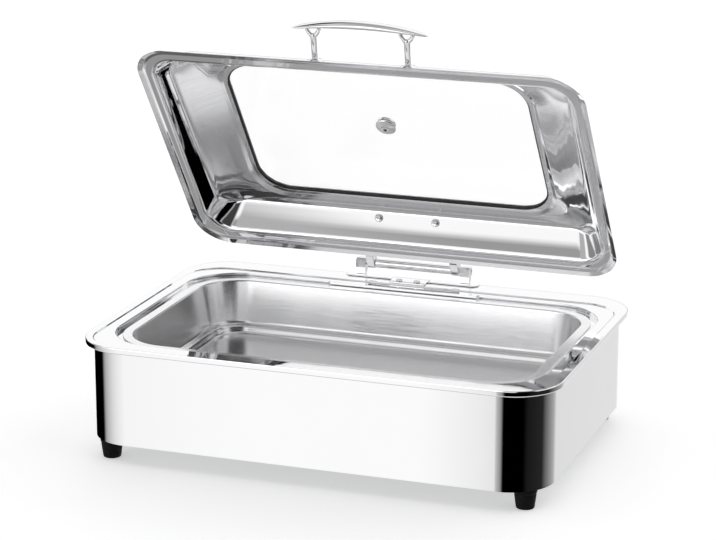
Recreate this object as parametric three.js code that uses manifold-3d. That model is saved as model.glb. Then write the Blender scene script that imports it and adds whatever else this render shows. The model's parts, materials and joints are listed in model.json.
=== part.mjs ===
// Electric chafing dish with a hinged window lid, in millimetres, +Z up.
// The origin is on the table, under the middle of the dish's box with the lid open as drawn.
import * as THREE from "three";
import { mergeVertices } from "three/addons/utils/BufferGeometryUtils.js";
import Module from "manifold-3d";

const wasm = await Module();
wasm.setup();

// Fits and sheet
const SEAT_GAP = 0.3;
const SHEET = 1;

// Counts of flats on round work
const CORNER_STEPS = 6;
const PLATE_CURVE_STEPS = 2;
const HOLE_SIDES = 16;
const SCREW_SIDES = 12;
const ROUND_SIDES = 20;
const STEM_SIDES = 12;

// Housing, a band of sheet steel round the works
const HOUSING_CORNER = 54;

// Feet
const FOOT_HEIGHT = 25;
const FOOT_TOP_RADIUS = 14;
const FOOT_BOTTOM_RADIUS = 11;
const FOOT_EDGE_RADIUS = 2.5;
const FOOT_INSET = 27;
const FOOT_COUNTERBORE = 5.5;
const FOOT_WEB = 12;

// Base plate
const BASE_PLATE_THICKNESS = 1.5;
const BASE_PLATE_RISE = 1;
const VENT_SLOT_LENGTH = 70;
const VENT_SLOT_WIDTH = 6;
const VENT_SLOT_PITCH = 24;
const VENT_SLOTS_PER_ROW = 9;
const VENT_ROW_OFFSET = 75;

// Screws
const SCREW_RADIUS = 2;
const SCREW_HEAD_RADIUS = 4.2;
const SCREW_HEAD_HEIGHT = 2.2;
const SCREW_CLEARANCE = 0.4;
const WASHER_RADIUS = 5.2;
const WASHER_THICKNESS = 0.9;
const HEAD_CROWN_SHARE = 0.7;
const FOOT_SCREW_LENGTH = 17;

// Food pan, the standard full size of 530 by 325 over its flange
const PAN_FLANGE_LENGTH = 530;
const PAN_FLANGE_DEPTH = 325;
const PAN_FLANGE_WIDTH = 12.5;
const PAN_HEIGHT = 65;
const PAN_CORNER = 54;
const PAN_SHEET = 0.9;
const PAN_FLANGE_LIP = 1.7;
const PAN_EDGE_ROUND = 3;
const PAN_DRAFT = 7.5;
const PAN_STEP_WIDTH = 12;
const PAN_STEP_HEIGHT = 9;
const PAN_FLOOR_ROUND = 4;

// Top frame: rolled rim, raised bead, lid seat, channel, pan ledge and collar
const RIM_OVERHANG = 9.4;
const RIM_CORNER = 60;
const RIM_HEIGHT = 7.2;
const RIM_SIDE_FLAT = 12.3;
const RIM_FRONT_FLAT = 7.8;
const RIM_REAR_FLAT = 34.8;
const RIM_ROUND = 2.4;
const BEAD_HEIGHT = 1.4;
const BEAD_SLOPE = 1.2;
const SEAT_CLEARANCE = 2;
const CHANNEL_DEPTH = 6;
const CHANNEL_CLEARANCE = 7;
const COLLAR_CLEARANCE = 2.6;
const COLLAR_DEPTH = 14;
const HEM_GAP = 0.3;
const LEDGE_REACH_X = 102;
const LEDGE_REACH_Y = 3.5;

// Water pan under the frame
const WATER_PAN_FLANGE = 12;
const WATER_ROOM = 21;
const WATER_PAN_DRAFT = 8;
const WATER_PAN_FLOOR_ROUND = 8;

// Heating element, its saddles and the shield below it
const ELEMENT_RADIUS = 4;
const ELEMENT_HALF_LENGTH = 195;
const ELEMENT_HALF_DEPTH = 100;
const ELEMENT_BEND = 45;
const ELEMENT_TAIL = 46;
const ELEMENT_TAIL_X = 150;
const ELEMENT_TAIL_PITCH = 34;
const ELEMENT_STEPS = 72;
const ELEMENT_SIDES = 6;
const SADDLE_WIDTH = 14;
const SADDLE_LENGTH = 216;
const SADDLE_X = 110;
const SHIELD_LENGTH = 440;
const SHIELD_DEPTH = 250;
const SHIELD_CORNER = 30;
const SHIELD_RIM = 6;
const SHIELD_DROP = 12;
const SPACER_LENGTH = 12.5;
const SPACER_RADIUS = 5;
const SPACER_X = 180;
const SPACER_Y = 95;
const BULB_RADIUS = 3;
const BULB_LENGTH = 90;
const BULB_Y = 40;

// Controls on the rear wall
const PANEL_LENGTH = 174;
const PANEL_HEIGHT = 78;
const PANEL_THICKNESS = 1.5;
const PANEL_MARGIN = 52.6;
const PANEL_CORNER = 6;
const PANEL_LAP = 8;
const BOX_FRONT_REACH = 37;
const KNOB_RADIUS = 20;
const KNOB_HEIGHT = 17;
const KNOB_TAPER = 2;
const KNOB_X = 55;
const KNOB_POINTER = 2.4;
const KNOB_GAP = 1;
const SHAFT_RADIUS = 3;
const SHAFT_LENGTH = 12;
const SHAFT_CLEARANCE = 0.4;
const THERMOSTAT_SIZE = 34;
const THERMOSTAT_DEPTH = 22;
const LAMP_X = 14;
const LAMP_Z = 18;
const LAMP_RADIUS = 5.5;
const LAMP_COLLAR = 7;
const LAMP_RISE = 3.5;
const LAMP_DEPTH = 16;
const SWITCH_X = 14;
const SWITCH_Z = -12;
const SWITCH_LENGTH = 21;
const SWITCH_HEIGHT = 15;
const SWITCH_DEPTH = 20;
const SWITCH_BEZEL = 2.2;
const SWITCH_BEZEL_RISE = 1.6;
const ROCKER_GAP = 1;
const ROCKER_THICKNESS = 5;
const ROCKER_RISE = 2.2;
const ROCKER_DISH = 0.5;
const ROCKER_KEEL = 6;
const ROCKER_POCKET = 9;
const RESET_X = -20;
const RESET_Z = 18;
const RESET_RADIUS = 3.5;
const RESET_RISE = 3;
const RESET_TRAVEL_ROOM = 3;
const RESET_BODY_RADIUS = 9;
const RESET_BODY_DEPTH = 18;
const INLET_X = -55;
const INLET_LENGTH = 30;
const INLET_HEIGHT = 24;
const INLET_DEPTH = 26;
const INLET_FLANGE = 4;
const INLET_FLANGE_THICKNESS = 2.5;
const INLET_WALL = 2.2;
const INLET_CORNER = 5;
const INLET_FLOOR = 5;
const PIN_LENGTH = 14;
const PIN_WIDTH = 2;
const PIN_HEIGHT = 4;
const PIN_PITCH = 7;
const TERMINAL_LENGTH = 36;
const TERMINAL_DEPTH = 14;
const TERMINAL_HEIGHT = 16;
const TERMINAL_X = -20;

// Lid
const LID_SIDE_REACH = 10.7;
const LID_END_REACH = 11.6;
const LID_CORNER = 45;
const PAN_SHIFT = 3.9;
const LID_OPEN_ANGLE = (54 * Math.PI) / 180;
const LID_EDGE_WIDTH = 5.5;
const LID_EDGE_RISE = 3;
const LID_BAND_SIDE = 17.5;
const LID_BAND_END = 22.5;
const LID_BAND_RISE = 4;
const LID_WALL_SIDE = 11;
const LID_WALL_END = 18.7;
const LID_WALL_HEIGHT = 22;
const LID_WALL_END_LIFT = 14.3;
const LID_PANEL_SIDE = 50.2;
const LID_PANEL_END = 13.3;
const LID_PANEL_HEIGHT = 17;
const LID_BEAD_WIDTH = 5;
const LID_BEAD_HEIGHT = 2;
const LID_WALL_CORNER = 33;
const LID_SHOULDER_CORNER = 30;
const LID_WINDOW_CORNER = 46;
const LID_SHEET = 1;

// Window: gasket, glass and outer trim
const GASKET_LIP = 4.2;
const GASKET_THICKNESS = 2;
const GASKET_WALL = 2.4;
const GLASS_THICKNESS = 4;
const TRIM_THICKNESS = 1.2;
const TRIM_OVERLAP = 6;

// Steam vent in the glass
const VENT_FLANGE_RADIUS = 13;
const VENT_FLANGE_THICKNESS = 2.6;
const VENT_NECK_RADIUS = 7.5;
const VENT_BORE = 3.4;
const VENT_NUT_RADIUS = 12;
const VENT_NUT_THICKNESS = 4;
const VENT_NECK_RISE = 3;
const VENT_OFFSET_Y = -18;

// Hinge on the rear of the frame
const HINGE_SETBACK = 35.6;
const HINGE_RISE = 15.9;
const HINGE_PIN_RADIUS = 3;
const HINGE_CLEARANCE = 0.3;
const HINGE_BASE_HALF = 90;
const HINGE_BASE_SETBACK = 19.4;
const HINGE_BASE_MARGIN = 2;
const HINGE_BASE_THICKNESS = 1.5;
const HINGE_BASE_NOTCH = 7.5;
const HINGE_BASE_CHAMFER = 6;
const EAR_INNER = 64;
const EAR_THICKNESS = 13;
const EAR_REACH = 8;
const EAR_SHOULDER = 3.5;
const EAR_RADIUS = 6.5;
const CLIP_HALF = 24;
const CLIP_DEPTH = 21;
const CLIP_THICKNESS = 1.5;
const CLIP_SCREW_X = 12;
const CLIP_SCREW_Y = 5.5;
const CLIP_SCREW_LENGTH = 9;
const BARREL_RADIUS = 6;
const ARM_INNER = 52;
const ARM_THICKNESS = 10;
const ARM_EYE_RADIUS = 7;
const ARM_PAD = 3;
const ARM_PAD_START = 16;
const ARM_PAD_REACH = 20;
const BRACKET_THICKNESS = 2;
const BRACKET_REACH = 15;
const BRACKET_START = 24;
const BRACKET_SCREW_X = 38;
const BRACKET_SCREW_REACH = 33;
const BRACKET_SCREW_LENGTH = 7;

// Handle on the front wall of the lid
const HANDLE_POST_X = 59;
const HANDLE_FOOT_RADIUS = 10.5;
const HANDLE_FOOT_HEIGHT = 5;
const HANDLE_FOOT_ROUND = 2;
const HANDLE_FOOT_REACH = 29.4;
const HANDLE_POST_RADIUS = 3.7;
const HANDLE_POST_LENGTH = 30.8;
const HANDLE_FORK_HEIGHT = 7.5;
const HANDLE_FORK_SPREAD = 8;
const HANDLE_PRONG_RADIUS = 2.4;
const HANDLE_BAR_LENGTH = 173;
const HANDLE_BAR_RISE = 4;
const HANDLE_BAR_WIDTH = 16;
const HANDLE_BAR_THICKNESS = 10;
const HANDLE_TIP_WIDTH = 5;
const HANDLE_TIP_THICKNESS = 2.6;
const HANDLE_BAR_STATIONS = 16;
const HANDLE_BAR_SIDES = 10;
const HANDLE_TIP_SHARE = 0.1;
const HANDLE_SCREW_LENGTH = 12;

// Colours and finishes
const finish = (color, metalness, roughness) => new THREE.MeshStandardMaterial(
  { color, metalness, roughness },
);
const polishedSteel = finish(0xd9dadb, 1, 0.08);
const satinSteel = finish(0xc4c5c6, 1, 0.32);
const sheetSteel = finish(0xa9abad, 1, 0.45);
const blackRubber = finish(0x141414, 0, 0.7);
const blackPlastic = finish(0x1b1b1c, 0, 0.45);
const heaterSteel = finish(0x5e5a55, 1, 0.5);
const silicone = finish(0x101010, 0, 0.55);
const lampRed = finish(0xc8401e, 0, 0.25);
const paleCeramic = finish(0xd8d2c4, 0, 0.6);
const glass = new THREE.MeshStandardMaterial({
  color: 0xeef4f4, metalness: 0, roughness: 0.03, transparent: true, opacity: 0.25,
});

const dish = new THREE.Group();
const lid = new THREE.Group();

// Adds a named piece to a group and returns it.
function piece(name, geometry, material, parent = dish) {
  const mesh = new THREE.Mesh(geometry, material);
  mesh.name = name;
  parent.add(mesh);
  return mesh;
}

// Turns a closed surface the right way round, by the sign of the volume it holds.
function outward(geometry) {
  const place = geometry.attributes.position;
  const order = geometry.index.array;
  const [a, b, c] = [new THREE.Vector3(), new THREE.Vector3(), new THREE.Vector3()];
  let volume = 0;
  for (let i = 0; i < order.length; i += 3) {
    a.fromBufferAttribute(place, order[i]);
    b.fromBufferAttribute(place, order[i + 1]);
    c.fromBufferAttribute(place, order[i + 2]);
    volume += a.dot(b.cross(c));
  }
  if (volume < 0) {
    for (let i = 0; i < order.length; i += 3) {
      [order[i], order[i + 1]] = [order[i + 1], order[i]];
    }
  }
  return geometry;
}

// Points round a rounded rectangle, anticlockwise from above; its front and rear may stand higher.
function ring(halfLength, front, rear, radius, z, lift = 0) {
  const corners = [
    [halfLength - radius, front + radius, -Math.PI / 2],
    [halfLength - radius, rear - radius, 0],
    [radius - halfLength, rear - radius, Math.PI / 2],
    [radius - halfLength, front + radius, Math.PI],
  ];
  return corners.flatMap(([x, y, start]) => Array.from({ length: CORNER_STEPS + 1 }, (_, i) => {
    const angle = start + (i / CORNER_STEPS) * (Math.PI / 2);
    return [x + radius * Math.cos(angle), y + radius * Math.sin(angle), z + lift * Math.sin(angle) ** 2];
  }));
}

// A ring centred on a given line across the dish.
function centredRing(halfLength, halfDepth, centre, radius, z, lift = 0) {
  return ring(halfLength, centre - halfDepth, centre + halfDepth, radius, z, lift);
}

// Skins a row of rings; a loop of rings closes on itself, an open row is capped at both ends.
function loft(rings, loop = false) {
  const count = rings[0].length;
  const points = rings.flat();
  const order = [];
  const spans = loop ? rings.length : rings.length - 1;
  for (let j = 0; j < spans; j += 1) {
    const k = (j + 1) % rings.length;
    for (let i = 0; i < count; i += 1) {
      const n = (i + 1) % count;
      order.push(j * count + i, j * count + n, k * count + n);
      order.push(j * count + i, k * count + n, k * count + i);
    }
  }
  if (!loop) {
    for (const [row, turned] of [[0, true], [rings.length - 1, false]]) {
      const middle = points.length;
      const sum = rings[row].reduce((s, p) => s.map((v, axis) => v + p[axis]), [0, 0, 0]);
      points.push(sum.map((v) => v / count));
      for (let i = 0; i < count; i += 1) {
        const pair = [row * count + i, row * count + ((i + 1) % count)];
        order.push(...(turned ? pair.reverse() : pair), middle);
      }
    }
  }
  const geometry = new THREE.BufferGeometry();
  geometry.setAttribute("position", new THREE.Float32BufferAttribute(points.flat(), 3));
  geometry.setIndex(order);
  return outward(geometry);
}

// A turned piece: radius and height pairs that start and end on the axis, or close on themselves.
function turned(profile, sides) {
  const points = profile.map(([radius, height]) => new THREE.Vector2(radius, height));
  const geometry = new THREE.LatheGeometry(points, sides);
  geometry.rotateX(Math.PI / 2);
  geometry.deleteAttribute("normal");
  geometry.deleteAttribute("uv");
  const merged = mergeVertices(geometry);
  const order = [];
  for (let i = 0; i < merged.index.count; i += 3) {
    const [a, b, c] = [0, 1, 2].map((n) => merged.index.getX(i + n));
    if (a !== b && b !== c && c !== a) order.push(a, b, c);
  }
  merged.setIndex(order);
  return outward(merged);
}

// A plate of one outline, its holes cut, from z = 0 up; each arc in it has twice the curve steps given.
function plate(shape, thickness, curveSteps = PLATE_CURVE_STEPS) {
  return new THREE.ExtrudeGeometry(
    shape, { depth: thickness, bevelEnabled: false, curveSegments: curveSteps },
  );
}

// Outline of a rounded rectangle about a centre.
function roundedShape(length, height, radius, x = 0, y = 0, Kind = THREE.Shape) {
  const [right, top] = [x + length / 2, y + height / 2];
  const [left, low] = [x - length / 2, y - height / 2];
  const shape = new Kind();
  shape.moveTo(left + radius, low);
  shape.lineTo(right - radius, low);
  shape.absarc(right - radius, low + radius, radius, -Math.PI / 2, 0);
  shape.lineTo(right, top - radius);
  shape.absarc(right - radius, top - radius, radius, 0, Math.PI / 2);
  shape.lineTo(left + radius, top);
  shape.absarc(left + radius, top - radius, radius, Math.PI / 2, Math.PI);
  shape.lineTo(left, low + radius);
  shape.absarc(left + radius, low + radius, radius, Math.PI, Math.PI * 1.5);
  return shape;
}

function roundHole(x, y, radius) {
  return new THREE.Path(Array.from({ length: HOLE_SIDES }, (_, i) => {
    const angle = (i / HOLE_SIDES) * Math.PI * 2;
    return new THREE.Vector2(x + radius * Math.cos(angle), y + radius * Math.sin(angle));
  }));
}

// A closed mesh as a solid that can be cut and joined.
function asSolid(geometry) {
  const bare = geometry.clone();
  bare.deleteAttribute("normal");
  bare.deleteAttribute("uv");
  const merged = mergeVertices(bare);
  return new wasm.Manifold(new wasm.Mesh({
    numProp: 3,
    vertProperties: new Float32Array(merged.attributes.position.array),
    triVerts: new Uint32Array(merged.index.array),
  }));
}

function asGeometry(solid) {
  const mesh = solid.getMesh();
  const geometry = new THREE.BufferGeometry();
  geometry.setAttribute("position", new THREE.BufferAttribute(mesh.vertProperties, 3));
  geometry.setIndex(new THREE.BufferAttribute(mesh.triVerts, 1));
  return geometry;
}

function cut(geometry, ...tools) {
  return asGeometry(tools.reduce((solid, tool) => solid.subtract(asSolid(tool)), asSolid(geometry)));
}

function join(geometry, ...others) {
  return asGeometry(others.reduce((solid, other) => solid.add(asSolid(other)), asSolid(geometry)));
}

// A round bar along an axis, centred on a point.
function bar(radius, length, sides, axis, x = 0, y = 0, z = 0) {
  const geometry = new THREE.CylinderGeometry(radius, radius, length, sides);
  if (axis === "x") geometry.rotateZ(Math.PI / 2);
  if (axis === "z") geometry.rotateX(Math.PI / 2);
  geometry.translate(x, y, z);
  return geometry;
}

// A block between two corners.
function block(low, high) {
  const size = high.map((v, i) => v - low[i]);
  const geometry = new THREE.BoxGeometry(...size);
  geometry.translate(...high.map((v, i) => (v + low[i]) / 2));
  return geometry;
}

const CUT_OVERRUN = 5;
const HOLE_RADIUS = SCREW_RADIUS + SCREW_CLEARANCE;

// A screw along +Z, its head's seat at z = 0 and its shank below; an optional washer under the head.
function screw(length, washer = false) {
  const lift = washer ? WASHER_THICKNESS : 0;
  const top = lift + SCREW_HEAD_HEIGHT;
  const skirt = washer ? [[WASHER_RADIUS, 0], [WASHER_RADIUS, lift]] : [];
  return turned([
    [0, -length], [SCREW_RADIUS, -length], [SCREW_RADIUS, 0], ...skirt, [SCREW_HEAD_RADIUS, lift],
    [SCREW_HEAD_RADIUS, lift + SCREW_HEAD_HEIGHT / 2],
    [SCREW_HEAD_RADIUS * HEAD_CROWN_SHARE, top], [0, top],
  ], SCREW_SIDES);
}

// Heights of the main layers, from the feet up
const BASE_Z = FOOT_HEIGHT + BASE_PLATE_RISE;
const BASE_TOP = BASE_Z + BASE_PLATE_THICKNESS;
const SHIELD_Z = BASE_TOP + SPACER_LENGTH + 2 * SEAT_GAP;
const ELEMENT_Z = SHIELD_Z - SHIELD_RIM + SHIELD_DROP + ELEMENT_RADIUS;
const WATER_PAN_BOTTOM = ELEMENT_Z + ELEMENT_RADIUS + SEAT_GAP;
const WATER_PAN_TOP = WATER_PAN_BOTTOM + PAN_HEIGHT + WATER_ROOM;
const LEDGE_Z = WATER_PAN_TOP + SEAT_GAP + SHEET;
const PAN_TOP = LEDGE_Z + SEAT_GAP + PAN_FLANGE_LIP;
const SEAT_Z = LEDGE_Z + CHANNEL_DEPTH;
const BEAD_Z = SEAT_Z + BEAD_HEIGHT;
const HOUSING_TOP = SEAT_Z - SHEET - SEAT_GAP;
const HINGE_Z = BEAD_Z + HINGE_RISE;

// Lines across the dish, from the pan out: channel, lid, seat, rim and housing
const LEDGE_HALF_LENGTH = PAN_FLANGE_LENGTH / 2 + CHANNEL_CLEARANCE;
const LEDGE_HALF_DEPTH = PAN_FLANGE_DEPTH / 2 + CHANNEL_CLEARANCE;
const LID_LENGTH = 2 * (LEDGE_HALF_LENGTH + LID_SIDE_REACH);
const LID_DEPTH = 2 * (LEDGE_HALF_DEPTH + LID_END_REACH);
const SEAT_HALF_LENGTH = LID_LENGTH / 2 + SEAT_CLEARANCE;
const SEAT_HALF_DEPTH = LID_DEPTH / 2 + SEAT_CLEARANCE;
const SEAT_CORNER = LID_CORNER + SEAT_CLEARANCE;
const RIM_HALF_LENGTH = SEAT_HALF_LENGTH + RIM_SIDE_FLAT;
const RIM_HALF_DEPTH = SEAT_HALF_DEPTH + (RIM_FRONT_FLAT + RIM_REAR_FLAT) / 2;
const HOUSING_LENGTH = 2 * (RIM_HALF_LENGTH - RIM_OVERHANG);
const HOUSING_DEPTH = 2 * (RIM_HALF_DEPTH - RIM_OVERHANG);
const LID_CENTRE_Y = (RIM_FRONT_FLAT - RIM_REAR_FLAT) / 2;
const LID_REAR = LID_CENTRE_Y + LID_DEPTH / 2;
const PAN_CENTRE_Y = LID_CENTRE_Y + PAN_SHIFT;
const HINGE_Y = LID_REAR + HINGE_SETBACK;
const HINGE_BASE_FRONT = LID_REAR + HINGE_BASE_SETBACK;
const HINGE_BASE_REAR = RIM_HALF_DEPTH - HINGE_BASE_MARGIN;
const CLIP_REAR = HINGE_BASE_FRONT + HINGE_BASE_NOTCH - SEAT_GAP;
const CLIP_FRONT = CLIP_REAR - CLIP_DEPTH;
const CLIP_SCREW_LINE = CLIP_FRONT + CLIP_SCREW_Y;
const PANEL_X = HOUSING_LENGTH / 2 - PANEL_MARGIN - PANEL_LENGTH / 2;
const PANEL_Z = (FOOT_HEIGHT + HOUSING_TOP) / 2;

// Housing band, open in the rear for the control panel
function housingBand() {
  const inner = (z) => centredRing(
    HOUSING_LENGTH / 2 - SHEET, HOUSING_DEPTH / 2 - SHEET, 0, HOUSING_CORNER - SHEET, z,
  );
  const outer = (z) => centredRing(HOUSING_LENGTH / 2, HOUSING_DEPTH / 2, 0, HOUSING_CORNER, z);
  const band = loft([inner(FOOT_HEIGHT), outer(FOOT_HEIGHT), outer(HOUSING_TOP), inner(HOUSING_TOP)], true);
  const halfLength = PANEL_LENGTH / 2 - PANEL_LAP;
  const halfHeight = PANEL_HEIGHT / 2 - PANEL_LAP;
  const rear = HOUSING_DEPTH / 2;
  const window = block(
    [PANEL_X - halfLength, rear - CUT_OVERRUN, PANEL_Z - halfHeight],
    [PANEL_X + halfLength, rear + CUT_OVERRUN, PANEL_Z + halfHeight],
  );
  piece("housing_band", cut(band, window), polishedSteel);
}

const FOOT_X = HOUSING_LENGTH / 2 - FOOT_INSET;
const FOOT_Y = HOUSING_DEPTH / 2 - FOOT_INSET;
const CORNERS = [
  ["front_left", -1, -1], ["front_right", 1, -1], ["rear_left", -1, 1], ["rear_right", 1, 1],
];

// Base plate with two rows of vent slots and a hole over each foot
function basePlate() {
  const edge = SHEET + SEAT_GAP;
  const outline = (z) => centredRing(
    HOUSING_LENGTH / 2 - edge, HOUSING_DEPTH / 2 - edge, 0, HOUSING_CORNER - edge, z,
  );
  const tools = CORNERS.map(([, sx, sy]) => (
    bar(HOLE_RADIUS, 2 * CUT_OVERRUN, SCREW_SIDES, "z", sx * FOOT_X, sy * FOOT_Y, BASE_Z)
  ));
  for (const side of [-1, 1]) {
    for (let i = 0; i < VENT_SLOTS_PER_ROW; i += 1) {
      const x = (i - (VENT_SLOTS_PER_ROW - 1) / 2) * VENT_SLOT_PITCH;
      const y = side * VENT_ROW_OFFSET;
      tools.push(block(
        [x - VENT_SLOT_WIDTH / 2, y - VENT_SLOT_LENGTH / 2, BASE_Z - CUT_OVERRUN],
        [x + VENT_SLOT_WIDTH / 2, y + VENT_SLOT_LENGTH / 2, BASE_Z + CUT_OVERRUN],
      ));
    }
  }
  piece("base_plate", cut(loft([outline(BASE_Z), outline(BASE_TOP)]), ...tools), sheetSteel);
}

// Tapered rubber feet, counterbored from below for their screws
function feet() {
  const top = BASE_Z - SEAT_GAP;
  const foot = turned([
    [FOOT_COUNTERBORE, 0], [FOOT_BOTTOM_RADIUS - FOOT_EDGE_RADIUS, 0],
    [FOOT_BOTTOM_RADIUS, FOOT_EDGE_RADIUS],
    [FOOT_TOP_RADIUS, top], [HOLE_RADIUS, top], [HOLE_RADIUS, FOOT_WEB],
    [FOOT_COUNTERBORE, FOOT_WEB], [FOOT_COUNTERBORE, 0],
  ], ROUND_SIDES);
  const fixing = screw(FOOT_SCREW_LENGTH);
  for (const [where, sx, sy] of CORNERS) {
    piece(`foot_${where}`, foot, blackRubber).position.set(sx * FOOT_X, sy * FOOT_Y, 0);
    const fastener = piece(`foot_screw_${where}`, fixing, satinSteel);
    fastener.position.set(sx * FOOT_X, sy * FOOT_Y, FOOT_WEB - SEAT_GAP);
    fastener.rotation.x = Math.PI;
  }
}

// The collar in the pan's opening, which the water pan shares
const COLLAR_HALF_LENGTH = PAN_FLANGE_LENGTH / 2 - PAN_FLANGE_WIDTH + COLLAR_CLEARANCE;
const COLLAR_HALF_DEPTH = PAN_FLANGE_DEPTH / 2 - PAN_FLANGE_WIDTH + COLLAR_CLEARANCE;
const COLLAR_CORNER = PAN_CORNER + COLLAR_CLEARANCE;
const CHANNEL_CORNER = COLLAR_CORNER + PAN_FLANGE_WIDTH;

// Top frame: one pressed sheet from the collar in the pan's opening out to the rolled rim
function topFrame() {
  const rim = (inset, z) => centredRing(
    RIM_HALF_LENGTH - inset, RIM_HALF_DEPTH - inset, 0, RIM_CORNER - inset, z,
  );
  const collar = (grow, z) => centredRing(
    COLLAR_HALF_LENGTH + grow, COLLAR_HALF_DEPTH + grow, PAN_CENTRE_Y, COLLAR_CORNER + grow, z,
  );
  const channel = (grow, z) => centredRing(
    LEDGE_HALF_LENGTH + grow, LEDGE_HALF_DEPTH + grow, PAN_CENTRE_Y, CHANNEL_CORNER + grow, z,
  );
  const seat = (grow, z) => centredRing(
    SEAT_HALF_LENGTH + grow, SEAT_HALF_DEPTH + grow, LID_CENTRE_Y, SEAT_CORNER + grow, z,
  );
  const rimLow = BEAD_Z - RIM_HEIGHT;
  const frame = loft([
    collar(0, LEDGE_Z - COLLAR_DEPTH), collar(0, LEDGE_Z), channel(0, LEDGE_Z), channel(0, SEAT_Z),
    seat(0, SEAT_Z), seat(BEAD_SLOPE, BEAD_Z), rim(RIM_ROUND, BEAD_Z),
    rim(RIM_ROUND / 4, BEAD_Z - RIM_ROUND / 3),
    rim(0, BEAD_Z - RIM_ROUND), rim(0, rimLow + RIM_ROUND / 3), rim(RIM_ROUND / 3, rimLow),
    rim(RIM_OVERHANG - HEM_GAP, rimLow), rim(RIM_OVERHANG - HEM_GAP, SEAT_Z - SHEET),
    channel(SHEET, SEAT_Z - SHEET), channel(SHEET, LEDGE_Z - SHEET), collar(SHEET, LEDGE_Z - SHEET),
    collar(SHEET, LEDGE_Z - COLLAR_DEPTH),
  ], true);
  const wall = PAN_CENTRE_Y + LEDGE_HALF_DEPTH;
  const ledge = new THREE.Shape();
  ledge.moveTo(-LEDGE_REACH_X, wall + SHEET / 2);
  ledge.lineTo(LEDGE_REACH_Y - LEDGE_REACH_X, wall - LEDGE_REACH_Y);
  ledge.lineTo(LEDGE_REACH_X - LEDGE_REACH_Y, wall - LEDGE_REACH_Y);
  ledge.lineTo(LEDGE_REACH_X, wall + SHEET / 2);
  const support = plate(ledge, CHANNEL_DEPTH + SHEET);
  support.translate(0, 0, LEDGE_Z - SHEET);
  const holes = [-1, 1].map((side) => bar(
    HOLE_RADIUS, 4 * CUT_OVERRUN, SCREW_SIDES, "z", side * CLIP_SCREW_X, CLIP_SCREW_LINE, BEAD_Z,
  ));
  piece("top_frame", cut(join(frame, support), ...holes), polishedSteel);
}

// Lift-out food pan with a stepped floor
function foodPan() {
  const half = PAN_FLANGE_LENGTH / 2;
  const depth = PAN_FLANGE_DEPTH / 2;
  const line = (inset, z, radius) => centredRing(half - inset, depth - inset, PAN_CENTRE_Y, radius, z);
  const opening = PAN_FLANGE_WIDTH;
  const shelf = opening + PAN_DRAFT;
  const step = shelf + PAN_STEP_WIDTH;
  const floor = PAN_TOP - PAN_HEIGHT;
  const shelfZ = floor + PAN_STEP_HEIGHT;
  const round = PAN_EDGE_ROUND;
  const small = PAN_FLOOR_ROUND;
  const outerCorner = PAN_CORNER + PAN_FLANGE_WIDTH;
  const corner = (inset) => outerCorner - inset;
  const inner = [
    line(step + small, floor, corner(step + small)), line(step, floor + small, corner(step)),
    line(step - SHEET, shelfZ - SHEET, corner(step - SHEET)),
    line(step - small, shelfZ, corner(step - small)),
    line(shelf + small, shelfZ, corner(shelf + small)), line(shelf, shelfZ + small, corner(shelf)),
    line(opening + SHEET, PAN_TOP - round, corner(opening + SHEET)),
    line(opening, PAN_TOP - SHEET, corner(opening)),
    line(opening - round / 2, PAN_TOP, corner(opening - round / 2)),
    line(SHEET, PAN_TOP, corner(SHEET)), line(0, PAN_TOP - SHEET, outerCorner),
    line(0, PAN_TOP - PAN_FLANGE_LIP, outerCorner),
  ];
  const t = PAN_SHEET;
  const outer = [
    line(t, PAN_TOP - PAN_FLANGE_LIP, corner(t)), line(t, PAN_TOP - t, corner(t)),
    line(opening - t, PAN_TOP - t, corner(opening - t)),
    line(opening + SHEET - t, PAN_TOP - round - t, corner(opening + SHEET - t)),
    line(shelf - t, shelfZ + small - t, corner(shelf - t)),
    line(shelf + small - t, shelfZ - t, corner(shelf + small - t)),
    line(step - small - t, shelfZ - t, corner(step - small - t)),
    line(step - t, floor + small - t, corner(step - t)),
    line(step + small - t, floor - t, corner(step + small - t)),
  ];
  piece("food_pan", loft([...inner, ...outer]), satinSteel);
}

// Water pan hung under the frame's ledge
function waterPan() {
  const first = SHEET + SEAT_GAP;
  const line = (grow, z) => centredRing(
    COLLAR_HALF_LENGTH + grow, COLLAR_HALF_DEPTH + grow, PAN_CENTRE_Y,
    COLLAR_CORNER + Math.min(grow, PAN_FLANGE_WIDTH), z,
  );
  const bend = WATER_PAN_TOP - COLLAR_DEPTH;
  const low = WATER_PAN_BOTTOM + SHEET;
  const round = WATER_PAN_FLOOR_ROUND;
  const draft = first - WATER_PAN_DRAFT;
  piece("water_pan", loft([
    line(draft - round, low), line(draft, low + round), line(first, bend), line(first, WATER_PAN_TOP),
    line(first + WATER_PAN_FLANGE, WATER_PAN_TOP), line(first + WATER_PAN_FLANGE, WATER_PAN_TOP - SHEET),
    line(first + SHEET, WATER_PAN_TOP - SHEET), line(first + SHEET, bend),
    line(draft + SHEET, low + round - SHEET),
    line(draft - round + SHEET, WATER_PAN_BOTTOM),
  ]), sheetSteel);
}

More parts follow.
